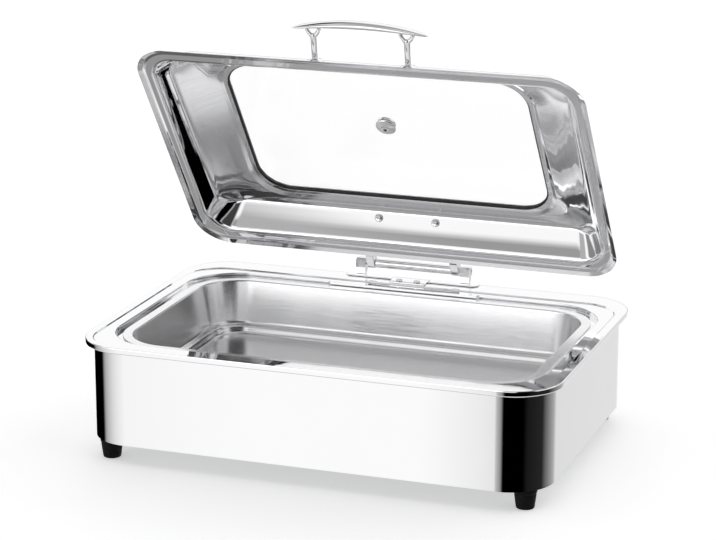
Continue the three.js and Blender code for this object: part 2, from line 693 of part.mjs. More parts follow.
// Tubular heating element: one loop under the water pan, its two tails to the rear
function heatingElement() {
  const [a, b, r] = [ELEMENT_HALF_LENGTH, ELEMENT_HALF_DEPTH, ELEMENT_BEND];
  const centre = PAN_CENTRE_Y;
  const tail = centre + b + ELEMENT_TAIL;
  const leftTail = ELEMENT_TAIL_X - ELEMENT_TAIL_PITCH / 2;
  const rightTail = ELEMENT_TAIL_X + ELEMENT_TAIL_PITCH / 2;
  const spot = (x, y) => new THREE.Vector3(x, y, ELEMENT_Z);
  const path = new THREE.CurvePath();
  const turn = ELEMENT_RADIUS * 3;
  const run = (from, to) => path.add(new THREE.LineCurve3(from, to));
  const bend = (from, corner, to) => path.add(new THREE.QuadraticBezierCurve3(from, corner, to));
  run(spot(leftTail, tail), spot(leftTail, centre + b + turn));
  bend(spot(leftTail, centre + b + turn), spot(leftTail, centre + b), spot(leftTail - turn, centre + b));
  run(spot(leftTail - turn, centre + b), spot(r - a, centre + b));
  bend(spot(r - a, centre + b), spot(-a, centre + b), spot(-a, centre + b - r));
  run(spot(-a, centre + b - r), spot(-a, centre - b + r));
  bend(spot(-a, centre - b + r), spot(-a, centre - b), spot(r - a, centre - b));
  run(spot(r - a, centre - b), spot(a - r, centre - b));
  bend(spot(a - r, centre - b), spot(a, centre - b), spot(a, centre - b + r));
  run(spot(a, centre - b + r), spot(a, centre + b - turn));
  bend(spot(a, centre + b - turn), spot(a, centre + b), spot(a - turn, centre + b));
  run(spot(a - turn, centre + b), spot(rightTail + turn, centre + b));
  bend(spot(rightTail + turn, centre + b), spot(rightTail, centre + b), spot(rightTail, centre + b + turn));
  run(spot(rightTail, centre + b + turn), spot(rightTail, tail));
  const section = new THREE.Shape();
  for (let i = 0; i < ELEMENT_SIDES; i += 1) {
    const angle = (i / ELEMENT_SIDES) * Math.PI * 2;
    const move = i === 0 ? "moveTo" : "lineTo";
    section[move](ELEMENT_RADIUS * Math.cos(angle), ELEMENT_RADIUS * Math.sin(angle));
  }
  piece(
    "heating_element",
    new THREE.ExtrudeGeometry(section, { steps: ELEMENT_STEPS, extrudePath: path }), heaterSteel,
  );
}

// Two saddles carry the element, and the shield carries the saddles on four spacers
function heaterSupports() {
  const saddleTop = ELEMENT_Z - ELEMENT_RADIUS - SEAT_GAP;
  const saddleLow = SHIELD_Z + SHEET + SEAT_GAP;
  for (const [name, side] of [["element_saddle_left", -1], ["element_saddle_right", 1]]) {
    const x = side * SADDLE_X;
    piece(name, block(
      [x - SADDLE_WIDTH / 2, PAN_CENTRE_Y - SADDLE_LENGTH / 2, saddleLow],
      [x + SADDLE_WIDTH / 2, PAN_CENTRE_Y + SADDLE_LENGTH / 2, saddleTop],
    ), sheetSteel);
  }
  const wall = (inset, z) => centredRing(
    SHIELD_LENGTH / 2 - inset, SHIELD_DEPTH / 2 - inset, PAN_CENTRE_Y, SHIELD_CORNER - inset, z,
  );
  piece("heat_shield", loft([
    wall(SHEET, SHIELD_Z + SHEET), wall(SHEET, SHIELD_Z + SHIELD_RIM),
    wall(0, SHIELD_Z + SHIELD_RIM), wall(0, SHIELD_Z),
  ]), sheetSteel);
  for (const [where, sx, sy] of CORNERS) {
    const geometry = bar(
      SPACER_RADIUS, SPACER_LENGTH, STEM_SIDES, "z", sx * SPACER_X,
      PAN_CENTRE_Y + sy * SPACER_Y, BASE_TOP + SEAT_GAP + SPACER_LENGTH / 2,
    );
    piece(`shield_spacer_${where}`, geometry, satinSteel);
  }
  const bulbZ = WATER_PAN_BOTTOM - SEAT_GAP - BULB_RADIUS;
  piece("thermostat_bulb", bar(BULB_RADIUS, BULB_LENGTH, STEM_SIDES, "x", 0, BULB_Y, bulbZ), satinSteel);
}

const REAR_WALL = HOUSING_DEPTH / 2;
const PANEL_BACK = REAR_WALL + SEAT_GAP;
const PANEL_FACE = PANEL_BACK + PANEL_THICKNESS;

// A plate stood up to face the rear, its outline drawn in x and z and its front at y.
function upright(shape, thickness, x, y, z) {
  const geometry = plate(shape, thickness);
  geometry.rotateX(Math.PI / 2);
  geometry.translate(x, y + thickness, z);
  return geometry;
}

// Control panel over the housing's rear opening, with a hole for each control
function controlPanel() {
  const shape = roundedShape(PANEL_LENGTH, PANEL_HEIGHT, PANEL_CORNER);
  shape.holes.push(
    roundHole(KNOB_X, 0, SHAFT_RADIUS + SHAFT_CLEARANCE + SEAT_GAP),
    roundHole(LAMP_X, LAMP_Z, LAMP_RADIUS + SEAT_GAP),
    roundHole(RESET_X, RESET_Z, RESET_RADIUS + 2 * SEAT_GAP),
    roundedShape(
      SWITCH_LENGTH + 2 * SEAT_GAP, SWITCH_HEIGHT + 2 * SEAT_GAP, SEAT_GAP, SWITCH_X, SWITCH_Z, THREE.Path,
    ),
    roundedShape(
      INLET_LENGTH + 2 * SEAT_GAP, INLET_HEIGHT + 2 * SEAT_GAP, INLET_CORNER, INLET_X, 0, THREE.Path,
    ),
  );
  piece("control_panel", upright(shape, PANEL_THICKNESS, PANEL_X, PANEL_BACK, PANEL_Z), satinSteel);
}

const BOX_FRONT = REAR_WALL - SHEET - SEAT_GAP - BOX_FRONT_REACH;

// Sheet box that keeps the water pan's heat and steam off the wiring, open to the rear wall
function controlBox() {
  const halfLength = PANEL_LENGTH / 2 - PANEL_LAP / 2;
  const halfHeight = PANEL_HEIGHT / 2 - PANEL_LAP / 2;
  const rear = REAR_WALL - SHEET - SEAT_GAP;
  const outer = block(
    [PANEL_X - halfLength, BOX_FRONT, PANEL_Z - halfHeight],
    [PANEL_X + halfLength, rear, PANEL_Z + halfHeight],
  );
  const inner = block(
    [PANEL_X - halfLength + SHEET, BOX_FRONT + SHEET, PANEL_Z - halfHeight + SHEET],
    [PANEL_X + halfLength - SHEET, rear + CUT_OVERRUN, PANEL_Z + halfHeight - SHEET],
  );
  piece("control_box", cut(outer, inner), sheetSteel);
  const blockLow = PANEL_Z - halfHeight + SHEET + SEAT_GAP;
  const blockFront = BOX_FRONT + SHEET + SEAT_GAP;
  piece("terminal_block", block(
    [PANEL_X + TERMINAL_X - TERMINAL_LENGTH / 2, blockFront, blockLow],
    [PANEL_X + TERMINAL_X + TERMINAL_LENGTH / 2, blockFront + TERMINAL_DEPTH, blockLow + TERMINAL_HEIGHT],
  ), paleCeramic);
}

// Points a turned piece's axis to the rear from a place on the panel.
function rearward(mesh, x, y, z) {
  mesh.rotation.x = -Math.PI / 2;
  mesh.position.set(x, y, z);
}

// Thermostat with its shaft, and the knob on it
function thermostat() {
  const half = THERMOSTAT_SIZE / 2;
  const x = PANEL_X + KNOB_X;
  const back = PANEL_BACK - SHEET - 2 * SEAT_GAP;
  const body = block([x - half, back - THERMOSTAT_DEPTH, PANEL_Z - half], [x + half, back, PANEL_Z + half]);
  const shaftEnd = PANEL_FACE + SHAFT_LENGTH;
  const overlap = THERMOSTAT_DEPTH / 2;
  const shaft = bar(
    SHAFT_RADIUS, shaftEnd - back + overlap, HOLE_SIDES, "y", x, (shaftEnd + back - overlap) / 2, PANEL_Z,
  );
  piece("thermostat_body", join(body, shaft), blackPlastic);
  const bore = SHAFT_RADIUS + SHAFT_CLEARANCE;
  const knob = turned([
    [bore, 0], [KNOB_RADIUS, 0], [KNOB_RADIUS, KNOB_GAP * 2],
    [KNOB_RADIUS - KNOB_TAPER, KNOB_HEIGHT - KNOB_GAP],
    [KNOB_RADIUS - KNOB_TAPER - KNOB_GAP, KNOB_HEIGHT], [0, KNOB_HEIGHT],
    [0, SHAFT_LENGTH + SEAT_GAP], [bore, SHAFT_LENGTH + SEAT_GAP], [bore, 0],
  ], ROUND_SIDES);
  const pointer = block(
    [-KNOB_POINTER / 2, KNOB_RADIUS / 3, KNOB_HEIGHT - KNOB_GAP],
    [KNOB_POINTER / 2, KNOB_RADIUS - KNOB_TAPER - KNOB_GAP, KNOB_HEIGHT + KNOB_GAP],
  );
  pointer.rotateZ(Math.PI);
  rearward(piece("thermostat_knob", join(knob, pointer), blackPlastic), x, PANEL_FACE + KNOB_GAP, PANEL_Z);
}

// Pilot lamp, power switch with its rocker, and the cut-out with its reset button
function smallControls() {
  const lamp = turned([
    [0, -LAMP_DEPTH], [LAMP_RADIUS, -LAMP_DEPTH], [LAMP_RADIUS, SEAT_GAP], [LAMP_COLLAR, SEAT_GAP],
    [LAMP_COLLAR, SWITCH_BEZEL_RISE], [LAMP_RADIUS, SWITCH_BEZEL_RISE],
    [LAMP_RADIUS / 2, LAMP_RISE], [0, LAMP_RISE],
  ], HOLE_SIDES);
  rearward(piece("pilot_lamp", lamp, lampRed), PANEL_X + LAMP_X, PANEL_FACE, PANEL_Z + LAMP_Z);

  const [x, z] = [PANEL_X + SWITCH_X, PANEL_Z + SWITCH_Z];
  const [a, b] = [SWITCH_LENGTH / 2, SWITCH_HEIGHT / 2];
  const face = PANEL_FACE + SEAT_GAP;
  const body = block(
    [x - a, PANEL_FACE - SWITCH_DEPTH, z - b], [x + a, face + SWITCH_BEZEL_RISE / 2, z + b],
  );
  const bezel = block(
    [x - a - SWITCH_BEZEL, face, z - b - SWITCH_BEZEL],
    [x + a + SWITCH_BEZEL, face + SWITCH_BEZEL_RISE, z + b + SWITCH_BEZEL],
  );
  const [p, q] = [a - SWITCH_BEZEL, b - SWITCH_BEZEL];
  const pocket = block([x - p, PANEL_FACE - ROCKER_POCKET, z - q], [x + p, face + CUT_OVERRUN, z + q]);
  piece("switch_body", cut(join(body, bezel), pocket), blackPlastic);

  const rocker = new THREE.Shape();
  const [reach, rise] = [p - ROCKER_GAP, face + SWITCH_BEZEL_RISE + ROCKER_RISE];
  rocker.moveTo(-reach, rise - ROCKER_RISE);
  rocker.lineTo(0, PANEL_FACE - ROCKER_KEEL);
  rocker.lineTo(reach - ROCKER_GAP / 2, rise - ROCKER_THICKNESS);
  rocker.lineTo(reach, rise);
  rocker.lineTo(0, rise - ROCKER_RISE - ROCKER_DISH);
  const depth = 2 * (q - ROCKER_GAP / 2);
  const geometry = plate(rocker, depth);
  geometry.translate(x, 0, z - depth / 2);
  piece("switch_rocker", geometry, blackPlastic);

  const reset = turned([
    [0, -RESET_TRAVEL_ROOM], [RESET_RADIUS, -RESET_TRAVEL_ROOM], [RESET_RADIUS, RESET_RISE - SEAT_GAP],
    [RESET_RADIUS - SEAT_GAP, RESET_RISE], [0, RESET_RISE],
  ], HOLE_SIDES);
  rearward(
    piece("reset_button", reset, lampRed), PANEL_X + RESET_X, PANEL_FACE + SEAT_GAP, PANEL_Z + RESET_Z,
  );
  const bore = RESET_RADIUS + SEAT_GAP;
  const back = PANEL_BACK - PANEL_FACE - SHEET - 2 * SEAT_GAP;
  const cutout = turned([
    [0, -RESET_BODY_DEPTH], [RESET_BODY_RADIUS, -RESET_BODY_DEPTH], [RESET_BODY_RADIUS, back], [bore, back],
    [bore, -RESET_TRAVEL_ROOM * 2 - SEAT_GAP], [0, -RESET_TRAVEL_ROOM * 2 - SEAT_GAP],
  ], HOLE_SIDES);
  rearward(piece("cutout_body", cutout, paleCeramic), PANEL_X + RESET_X, PANEL_FACE, PANEL_Z + RESET_Z);
}

// Mains inlet with its three blades
function powerInlet() {
  const [x, z] = [PANEL_X + INLET_X, PANEL_Z];
  const back = PANEL_FACE + INLET_FLANGE_THICKNESS / 2 - INLET_DEPTH;
  const floor = back + INLET_FLOOR;
  const outline = (grow) => roundedShape(
    INLET_LENGTH + 2 * grow, INLET_HEIGHT + 2 * grow, INLET_CORNER + Math.min(grow, 0),
  );
  const flange = upright(outline(INLET_FLANGE), INLET_FLANGE_THICKNESS, x, PANEL_FACE + SEAT_GAP, z);
  const body = upright(outline(0), INLET_DEPTH, x, back, z);
  const hollow = upright(outline(-INLET_WALL), INLET_DEPTH + CUT_OVERRUN, x, floor, z);
  const blade = (dx, dz) => block(
    [x + dx - PIN_WIDTH / 2, floor - INLET_FLOOR / 2, z + dz - PIN_HEIGHT / 2],
    [x + dx + PIN_WIDTH / 2, floor + PIN_LENGTH, z + dz + PIN_HEIGHT / 2],
  );
  const shell = cut(join(flange, body), hollow);
  const drop = PIN_PITCH / 3;
  piece(
    "power_inlet", join(shell, blade(-PIN_PITCH, -drop), blade(0, drop), blade(PIN_PITCH, -drop)),
    blackPlastic,
  );
}

// Hinge base, ears, pin and clip on the frame's rear
function hinge() {
  const low = BEAD_Z + SEAT_GAP;
  const top = low + HINGE_BASE_THICKNESS;
  const notch = CLIP_HALF + SEAT_GAP;
  const base = new THREE.Shape();
  base.moveTo(-HINGE_BASE_HALF, HINGE_BASE_REAR);
  base.lineTo(-HINGE_BASE_HALF, HINGE_BASE_FRONT + HINGE_BASE_CHAMFER);
  base.lineTo(HINGE_BASE_CHAMFER - HINGE_BASE_HALF, HINGE_BASE_FRONT);
  base.lineTo(-notch, HINGE_BASE_FRONT);
  base.lineTo(-notch, HINGE_BASE_FRONT + HINGE_BASE_NOTCH);
  base.lineTo(notch, HINGE_BASE_FRONT + HINGE_BASE_NOTCH);
  base.lineTo(notch, HINGE_BASE_FRONT);
  base.lineTo(HINGE_BASE_HALF - HINGE_BASE_CHAMFER, HINGE_BASE_FRONT);
  base.lineTo(HINGE_BASE_HALF, HINGE_BASE_FRONT + HINGE_BASE_CHAMFER);
  base.lineTo(HINGE_BASE_HALF, HINGE_BASE_REAR);
  const clip = roundedShape(2 * CLIP_HALF, CLIP_DEPTH, SHEET, 0, (CLIP_FRONT + CLIP_REAR) / 2);
  for (const side of [-1, 1]) {
    clip.holes.push(roundHole(side * CLIP_SCREW_X, CLIP_SCREW_LINE, HOLE_RADIUS));
  }
  piece("hinge_base", plate(base, HINGE_BASE_THICKNESS), polishedSteel).position.z = low;
  piece("hinge_clip", plate(clip, CLIP_THICKNESS), polishedSteel).position.z = low;
  const fixing = screw(CLIP_SCREW_LENGTH);
  for (const [name, side] of [["clip_screw_left", -1], ["clip_screw_right", 1]]) {
    piece(name, fixing, satinSteel).position.set(
      side * CLIP_SCREW_X, CLIP_SCREW_LINE, low + CLIP_THICKNESS + SEAT_GAP,
    );
  }

  const ear = new THREE.Shape();
  ear.moveTo(HINGE_Y - EAR_REACH, top + SEAT_GAP);
  ear.lineTo(HINGE_BASE_REAR - SHEET, top + SEAT_GAP);
  ear.absarc(HINGE_Y, HINGE_Z, EAR_RADIUS, -Math.PI / 3, Math.PI / 2);
  ear.lineTo(HINGE_Y - EAR_REACH + EAR_SHOULDER, HINGE_Z + EAR_RADIUS);
  ear.lineTo(HINGE_Y - EAR_REACH, HINGE_Z + EAR_SHOULDER);
  ear.holes.push(roundHole(HINGE_Y, HINGE_Z, HINGE_PIN_RADIUS + HINGE_CLEARANCE));
  const ears = [["hinge_ear_left", -EAR_INNER - EAR_THICKNESS], ["hinge_ear_right", EAR_INNER]];
  for (const [name, x] of ears) {
    piece(name, alongX(plate(ear, EAR_THICKNESS, CORNER_STEPS)), polishedSteel).position.x = x;
  }
  const reach = EAR_INNER + EAR_THICKNESS - SHEET;
  piece("hinge_pin", bar(HINGE_PIN_RADIUS, 2 * reach, HOLE_SIDES, "x", 0, HINGE_Y, HINGE_Z), satinSteel);
}

// Turns an outline drawn in y and z so that its thickness runs along x.
function alongX(geometry) {
  geometry.applyMatrix4(new THREE.Matrix4().makeBasis(
    new THREE.Vector3(0, 1, 0), new THREE.Vector3(0, 0, 1), new THREE.Vector3(1, 0, 0),
  ));
  return geometry;
}

// The lid is drawn shut, measured from the hinge's axis, and then turned open about it
const LID_Z = SEAT_Z + SEAT_GAP - HINGE_Z;
const LID_Y = LID_CENTRE_Y - HINGE_Y;
const WALL_FOOT = [LID_BAND_SIDE, LID_BAND_END, LID_BAND_RISE];
const WALL_TOP = [
  LID_BAND_SIDE + LID_WALL_SIDE, LID_BAND_END + LID_WALL_END, LID_BAND_RISE + LID_WALL_HEIGHT,
  LID_WALL_END_LIFT,
];
const END_SLOPE = Math.atan2(LID_WALL_HEIGHT + LID_WALL_END_LIFT, LID_WALL_END);
const PANEL_TOP = [
  WALL_TOP[0] + LID_PANEL_SIDE, WALL_TOP[1] + LID_PANEL_END, WALL_TOP[2] + LID_PANEL_HEIGHT,
];
const WINDOW_RISE = PANEL_TOP[2] + LID_BEAD_HEIGHT;

// A ring of the lid, set in from its edge by one amount at the sides and another at front and rear.
function lidRing(insetSide, insetEnd, rise, radius, lift = 0) {
  return centredRing(
    LID_LENGTH / 2 - insetSide, LID_DEPTH / 2 - insetEnd, LID_Y, radius, LID_Z + rise, lift,
  );
}

// How far a slope's outer skin lies from its inner one, sideways and up
function skinOffset(run, rise) {
  const length = Math.hypot(run, rise);
  return [(-LID_SHEET * rise) / length, (LID_SHEET * run) / length];
}

// Lid shell: rolled edge, flat band, steep wall, sloping panel and the window's bead
function lidShell() {
  const t = LID_SHEET;
  const both = ([side, end, rise, lift = 0], radius, out = 0, up = 0) => lidRing(
    side + out, end + out, rise + up, radius - out, lift,
  );
  const edge = [LID_EDGE_WIDTH, LID_EDGE_WIDTH, LID_EDGE_RISE];
  const beadSide = PANEL_TOP[0] + LID_BEAD_WIDTH;
  const beadEnd = PANEL_TOP[1] + LID_BEAD_WIDTH;
  const sill = [beadSide, beadEnd, WINDOW_RISE];
  const lip = [beadSide + LID_BEAD_WIDTH, beadEnd + LID_BEAD_WIDTH, WINDOW_RISE];
  const [wallOut, wallUp] = skinOffset(
    (LID_WALL_SIDE + LID_WALL_END) / 2, LID_WALL_HEIGHT + LID_WALL_END_LIFT / 2,
  );
  const [panelOut, panelUp] = skinOffset(
    (LID_PANEL_SIDE + LID_PANEL_END) / 2, LID_PANEL_HEIGHT - LID_WALL_END_LIFT / 2,
  );
  const inner = [
    lidRing(0, 0, 0, LID_CORNER), both(edge, LID_CORNER - LID_EDGE_WIDTH), both(WALL_FOOT, LID_WALL_CORNER),
    both(WALL_TOP, LID_SHOULDER_CORNER), both(PANEL_TOP, LID_WINDOW_CORNER),
    both(sill, LID_WINDOW_CORNER - LID_BEAD_WIDTH / 2), both(lip, LID_WINDOW_CORNER - LID_BEAD_WIDTH),
  ];
  const outer = [
    both(lip, LID_WINDOW_CORNER - LID_BEAD_WIDTH, 0, t),
    both(sill, LID_WINDOW_CORNER - LID_BEAD_WIDTH / 2, 0, t),
    both(PANEL_TOP, LID_WINDOW_CORNER, panelOut, panelUp),
    both(WALL_TOP, LID_SHOULDER_CORNER, (wallOut + panelOut) / 2, t),
    both(WALL_FOOT, LID_WALL_CORNER, wallOut, wallUp + t / 2),
    both(edge, LID_CORNER - LID_EDGE_WIDTH, 0, t),
    lidRing(0, 0, t, LID_CORNER),
  ];
  const holes = [
    ...[-1, 1].map(
      (side) => placed(bar(HOLE_RADIUS, 4 * CUT_OVERRUN, SCREW_SIDES, "z"), bracketPlace(side, 0)),
    ),
    ...[-1, 1].map(
      (side) => placed(bar(HOLE_RADIUS, 4 * CUT_OVERRUN, SCREW_SIDES, "z"), handlePlace(side, 0)),
    ),
  ];
  piece("lid_shell", cut(loft([...inner, ...outer], true), ...holes), polishedSteel, lid);
}

// A point on the rear wall, up its slope and out from its inner skin.
function onRearWall(along, up) {
  return [
    LID_Y + LID_DEPTH / 2 - LID_BAND_END - along * Math.cos(END_SLOPE) + up * Math.sin(END_SLOPE),
    LID_Z + LID_BAND_RISE + along * Math.sin(END_SLOPE) + up * Math.cos(END_SLOPE),
  ];
}

// Place of a bracket screw on the rear wall's outer skin, with z along its normal.
function bracketPlace(side, lift) {
  const place = onRearWall(BRACKET_SCREW_REACH, LID_SHEET + lift);
  return new THREE.Matrix4().makeRotationX(-END_SLOPE).setPosition(side * BRACKET_SCREW_X, ...place);
}

// Place on the front wall's outer skin under a handle post, with z along its normal.
function handlePlace(side, lift) {
  const front = LID_Y - LID_DEPTH / 2 + LID_BAND_END;
  const along = HANDLE_FOOT_REACH;
  const up = LID_SHEET + lift;
  return new THREE.Matrix4().makeRotationX(END_SLOPE).setPosition(
    side * HANDLE_POST_X,
    front + along * Math.cos(END_SLOPE) - up * Math.sin(END_SLOPE),
    LID_Z + LID_BAND_RISE + along * Math.sin(END_SLOPE) + up * Math.cos(END_SLOPE),
  );
}

function placed(geometry, matrix) {
  geometry.applyMatrix4(matrix);
  return geometry;
}

const LIP_SIDE = PANEL_TOP[0] + 2 * LID_BEAD_WIDTH;
const LIP_END = PANEL_TOP[1] + 2 * LID_BEAD_WIDTH;
const LIP_CORNER = LID_WINDOW_CORNER - LID_BEAD_WIDTH;
const GASKET_RISE = WINDOW_RISE + LID_SHEET + SEAT_GAP;
const GLASS_RISE = GASKET_RISE + GASKET_THICKNESS + SEAT_GAP;

// Window gasket, glass pane with the vent's hole, and the trim that holds it down
function lidWindow() {
  const grow = (out, rise) => lidRing(LIP_SIDE - out, LIP_END - out, rise, LIP_CORNER + out);
  const outside = LID_BEAD_WIDTH - SEAT_GAP;
  const inside = -GASKET_LIP;
  const wallTop = GLASS_RISE + GLASS_THICKNESS;
  piece("window_gasket", loft([
    grow(inside, GASKET_RISE), grow(inside, GASKET_RISE + GASKET_THICKNESS),
    grow(outside - GASKET_WALL, GASKET_RISE + GASKET_THICKNESS), grow(outside - GASKET_WALL, wallTop),
    grow(outside, wallTop), grow(outside, GASKET_RISE),
  ], true), silicone, lid);

  const glassOut = outside - GASKET_WALL - SEAT_GAP;
  const pane = loft([grow(glassOut, GLASS_RISE), grow(glassOut, wallTop)]);
  const hole = bar(
    VENT_NECK_RADIUS + SEAT_GAP, 4 * CUT_OVERRUN, ROUND_SIDES,
    "z", 0, LID_Y + VENT_OFFSET_Y, LID_Z + GLASS_RISE,
  );
  piece("window_glass", cut(pane, hole), glass, lid);

  const trimLow = wallTop + SEAT_GAP;
  const trimTop = trimLow + TRIM_THICKNESS;
  const leg = outside + SEAT_GAP;
  const legOut = leg + TRIM_THICKNESS * 2;
  piece("window_trim", loft([
    grow(outside - TRIM_OVERLAP, trimLow), grow(leg, trimLow),
    grow(leg, GASKET_RISE), grow(legOut, GASKET_RISE),
    grow(legOut, trimTop - TRIM_THICKNESS), grow(leg, trimTop), grow(outside - TRIM_OVERLAP, trimTop),
  ], true), polishedSteel, lid);

  const underside = LID_Z + GLASS_RISE - SEAT_GAP;
  const over = GLASS_THICKNESS + 2 * SEAT_GAP;
  const nutTop = over + VENT_NUT_THICKNESS;
  const neck = VENT_NECK_RADIUS;
  const body = turned([
    [VENT_BORE, -VENT_FLANGE_THICKNESS],
    [VENT_FLANGE_RADIUS - VENT_FLANGE_THICKNESS / 2, -VENT_FLANGE_THICKNESS],
    [VENT_FLANGE_RADIUS, -VENT_FLANGE_THICKNESS / 2], [VENT_FLANGE_RADIUS, 0], [neck, 0],
    [neck, nutTop + VENT_NECK_RISE - SHEET], [neck - SHEET, nutTop + VENT_NECK_RISE],
    [VENT_BORE, nutTop + VENT_NECK_RISE], [VENT_BORE, -VENT_FLANGE_THICKNESS],
  ], ROUND_SIDES);
  piece("vent_body", body, polishedSteel, lid).position.set(0, LID_Y + VENT_OFFSET_Y, underside);
  const nut = turned([
    [neck + SEAT_GAP, over], [VENT_NUT_RADIUS, over], [VENT_NUT_RADIUS, nutTop - SHEET],
    [VENT_NUT_RADIUS - SHEET, nutTop], [neck + SEAT_GAP, nutTop], [neck + SEAT_GAP, over],
  ], ROUND_SIDES);
  piece("vent_nut", nut, satinSteel, lid).position.set(0, LID_Y + VENT_OFFSET_Y, underside);
}

// Bracket on the lid's rear wall, arms to the hinge pin and the damped barrel between them
function lidHinge() {
  const skin = LID_SHEET + SEAT_GAP;
  const bracket = new THREE.Shape();
  bracket.moveTo(...onRearWall(BRACKET_START, skin));
  bracket.lineTo(...onRearWall(BRACKET_START + BRACKET_REACH, skin));
  bracket.lineTo(...onRearWall(BRACKET_START + BRACKET_REACH, skin + BRACKET_THICKNESS));
  bracket.lineTo(...onRearWall(BRACKET_START, skin + BRACKET_THICKNESS));
  const half = ARM_INNER - SEAT_GAP;
  const strip = alongX(plate(bracket, 2 * half));
  strip.translate(-half, 0, 0);
  const holes = [-1, 1].map(
    (side) => placed(bar(HOLE_RADIUS, 4 * CUT_OVERRUN, SCREW_SIDES, "z"), bracketPlace(side, 0)),
  );
  piece("lid_bracket", cut(strip, ...holes), polishedSteel, lid);

  const arm = new THREE.Shape();
  const start = Math.PI * 0.6;
  arm.absarc(0, 0, ARM_EYE_RADIUS, -Math.PI * 0.65, start);
  arm.lineTo(...onRearWall(ARM_PAD_START + ARM_PAD_REACH, skin + ARM_PAD));
  arm.lineTo(...onRearWall(ARM_PAD_START + ARM_PAD_REACH, skin));
  arm.lineTo(...onRearWall(ARM_PAD_START, skin));
  arm.holes.push(roundHole(0, 0, HINGE_PIN_RADIUS + HINGE_CLEARANCE));
  const arms = [["hinge_arm_left", -ARM_INNER - ARM_THICKNESS], ["hinge_arm_right", ARM_INNER]];
  for (const [name, x] of arms) {
    piece(name, alongX(plate(arm, ARM_THICKNESS, CORNER_STEPS)), polishedSteel, lid).position.x = x;
  }

  const bore = HINGE_PIN_RADIUS + HINGE_CLEARANCE;
  const barrel = turned([
    [bore, -half], [BARREL_RADIUS, -half], [BARREL_RADIUS, half], [bore, half], [bore, -half],
  ], HOLE_SIDES);
  barrel.rotateY(Math.PI / 2);
  piece("hinge_barrel", barrel, polishedSteel, lid);

  for (const [name, side] of [["bracket_screw_left", -1], ["bracket_screw_right", 1]]) {
    const fixing = screw(BRACKET_SCREW_LENGTH, true);
    fixing.rotateX(Math.PI);
    piece(name, placed(fixing, bracketPlace(side, -LID_SHEET - SEAT_GAP)), satinSteel, lid);
  }
}

// Handle: feet, forked posts, the arched bar and the screws from inside the lid
function handle() {
  const foot = turned([
    [HOLE_RADIUS, 0], [HANDLE_FOOT_RADIUS, 0], [HANDLE_FOOT_RADIUS, HANDLE_FOOT_ROUND],
    [HANDLE_POST_RADIUS + HANDLE_FOOT_ROUND, HANDLE_FOOT_HEIGHT],
    [HOLE_RADIUS, HANDLE_FOOT_HEIGHT], [HOLE_RADIUS, 0],
  ], ROUND_SIDES);
  const postLow = HANDLE_FOOT_HEIGHT + SEAT_GAP;
  const forkLow = postLow + HANDLE_POST_LENGTH;
  const forkTop = forkLow + HANDLE_FORK_HEIGHT;
  const stem = bar(HANDLE_POST_RADIUS, forkLow - postLow, STEM_SIDES, "z", 0, 0, (forkLow + postLow) / 2);
  const prong = (side) => {
    const length = Math.hypot(HANDLE_FORK_HEIGHT, HANDLE_FORK_SPREAD) + HANDLE_PRONG_RADIUS;
    const geometry = bar(
      HANDLE_PRONG_RADIUS, length, STEM_SIDES, "z", 0, 0, length / 2 - HANDLE_PRONG_RADIUS,
    );
    geometry.rotateY(side * Math.atan2(HANDLE_FORK_SPREAD, HANDLE_FORK_HEIGHT));
    geometry.translate(0, 0, forkLow - HANDLE_PRONG_RADIUS / 2);
    return geometry;
  };
  const tap = bar(HOLE_RADIUS, HANDLE_SCREW_LENGTH * 2, SCREW_SIDES, "z");
  const arch = (x) => HANDLE_BAR_RISE * (1 - ((2 * x) / HANDLE_BAR_LENGTH) ** 2);
  const barBottom = (x) => forkTop + arch(x) - arch(HANDLE_POST_X);
  const trimAbove = (side) => {
    const height = CUT_OVERRUN * 4;
    const slab = block([-KNOB_RADIUS, -KNOB_RADIUS, 0], [KNOB_RADIUS, KNOB_RADIUS, height]);
    const grade = (-side * 8 * HANDLE_BAR_RISE * HANDLE_POST_X) / HANDLE_BAR_LENGTH ** 2;
    slab.rotateY(-Math.atan(grade));
    slab.translate(0, 0, barBottom(HANDLE_POST_X) - SEAT_GAP);
    return slab;
  };
  for (const [name, side] of [["left", -1], ["right", 1]]) {
    const post = cut(join(stem, prong(-1), prong(1)), tap, trimAbove(side));
    piece(`handle_foot_${name}`, placed(foot.clone(), handlePlace(side, SEAT_GAP)), polishedSteel, lid);
    piece(`handle_post_${name}`, placed(post, handlePlace(side, SEAT_GAP)), polishedSteel, lid);
    const fixing = screw(HANDLE_SCREW_LENGTH);
    fixing.rotateX(Math.PI);
    piece(
      `handle_screw_${name}`, placed(fixing, handlePlace(side, -LID_SHEET - SEAT_GAP)), satinSteel, lid,
    );
  }

  const rings = [];
  for (let i = 0; i <= HANDLE_BAR_STATIONS; i += 1) {
    const share = (2 * i) / HANDLE_BAR_STATIONS - 1;
    const x = (share * HANDLE_BAR_LENGTH) / 2;
    const full = Math.sqrt(1 - Math.abs(share) ** 3 * (1 - HANDLE_TIP_SHARE));
    const width = HANDLE_TIP_WIDTH + (HANDLE_BAR_WIDTH - HANDLE_TIP_WIDTH) * full;
    const thick = HANDLE_TIP_THICKNESS + (HANDLE_BAR_THICKNESS - HANDLE_TIP_THICKNESS) * (1 - share ** 2);
    const low = barBottom(x);
    rings.push(Array.from({ length: HANDLE_BAR_SIDES }, (_, n) => {
      const angle = (n / HANDLE_BAR_SIDES) * Math.PI * 2;
      return [x, (width / 2) * Math.cos(angle), low + thick / 2 + (thick / 2) * Math.sin(angle)];
    }));
  }
  const place = handlePlace(0, SEAT_GAP);
  piece("handle_bar", placed(loft(rings), place), polishedSteel, lid);
}

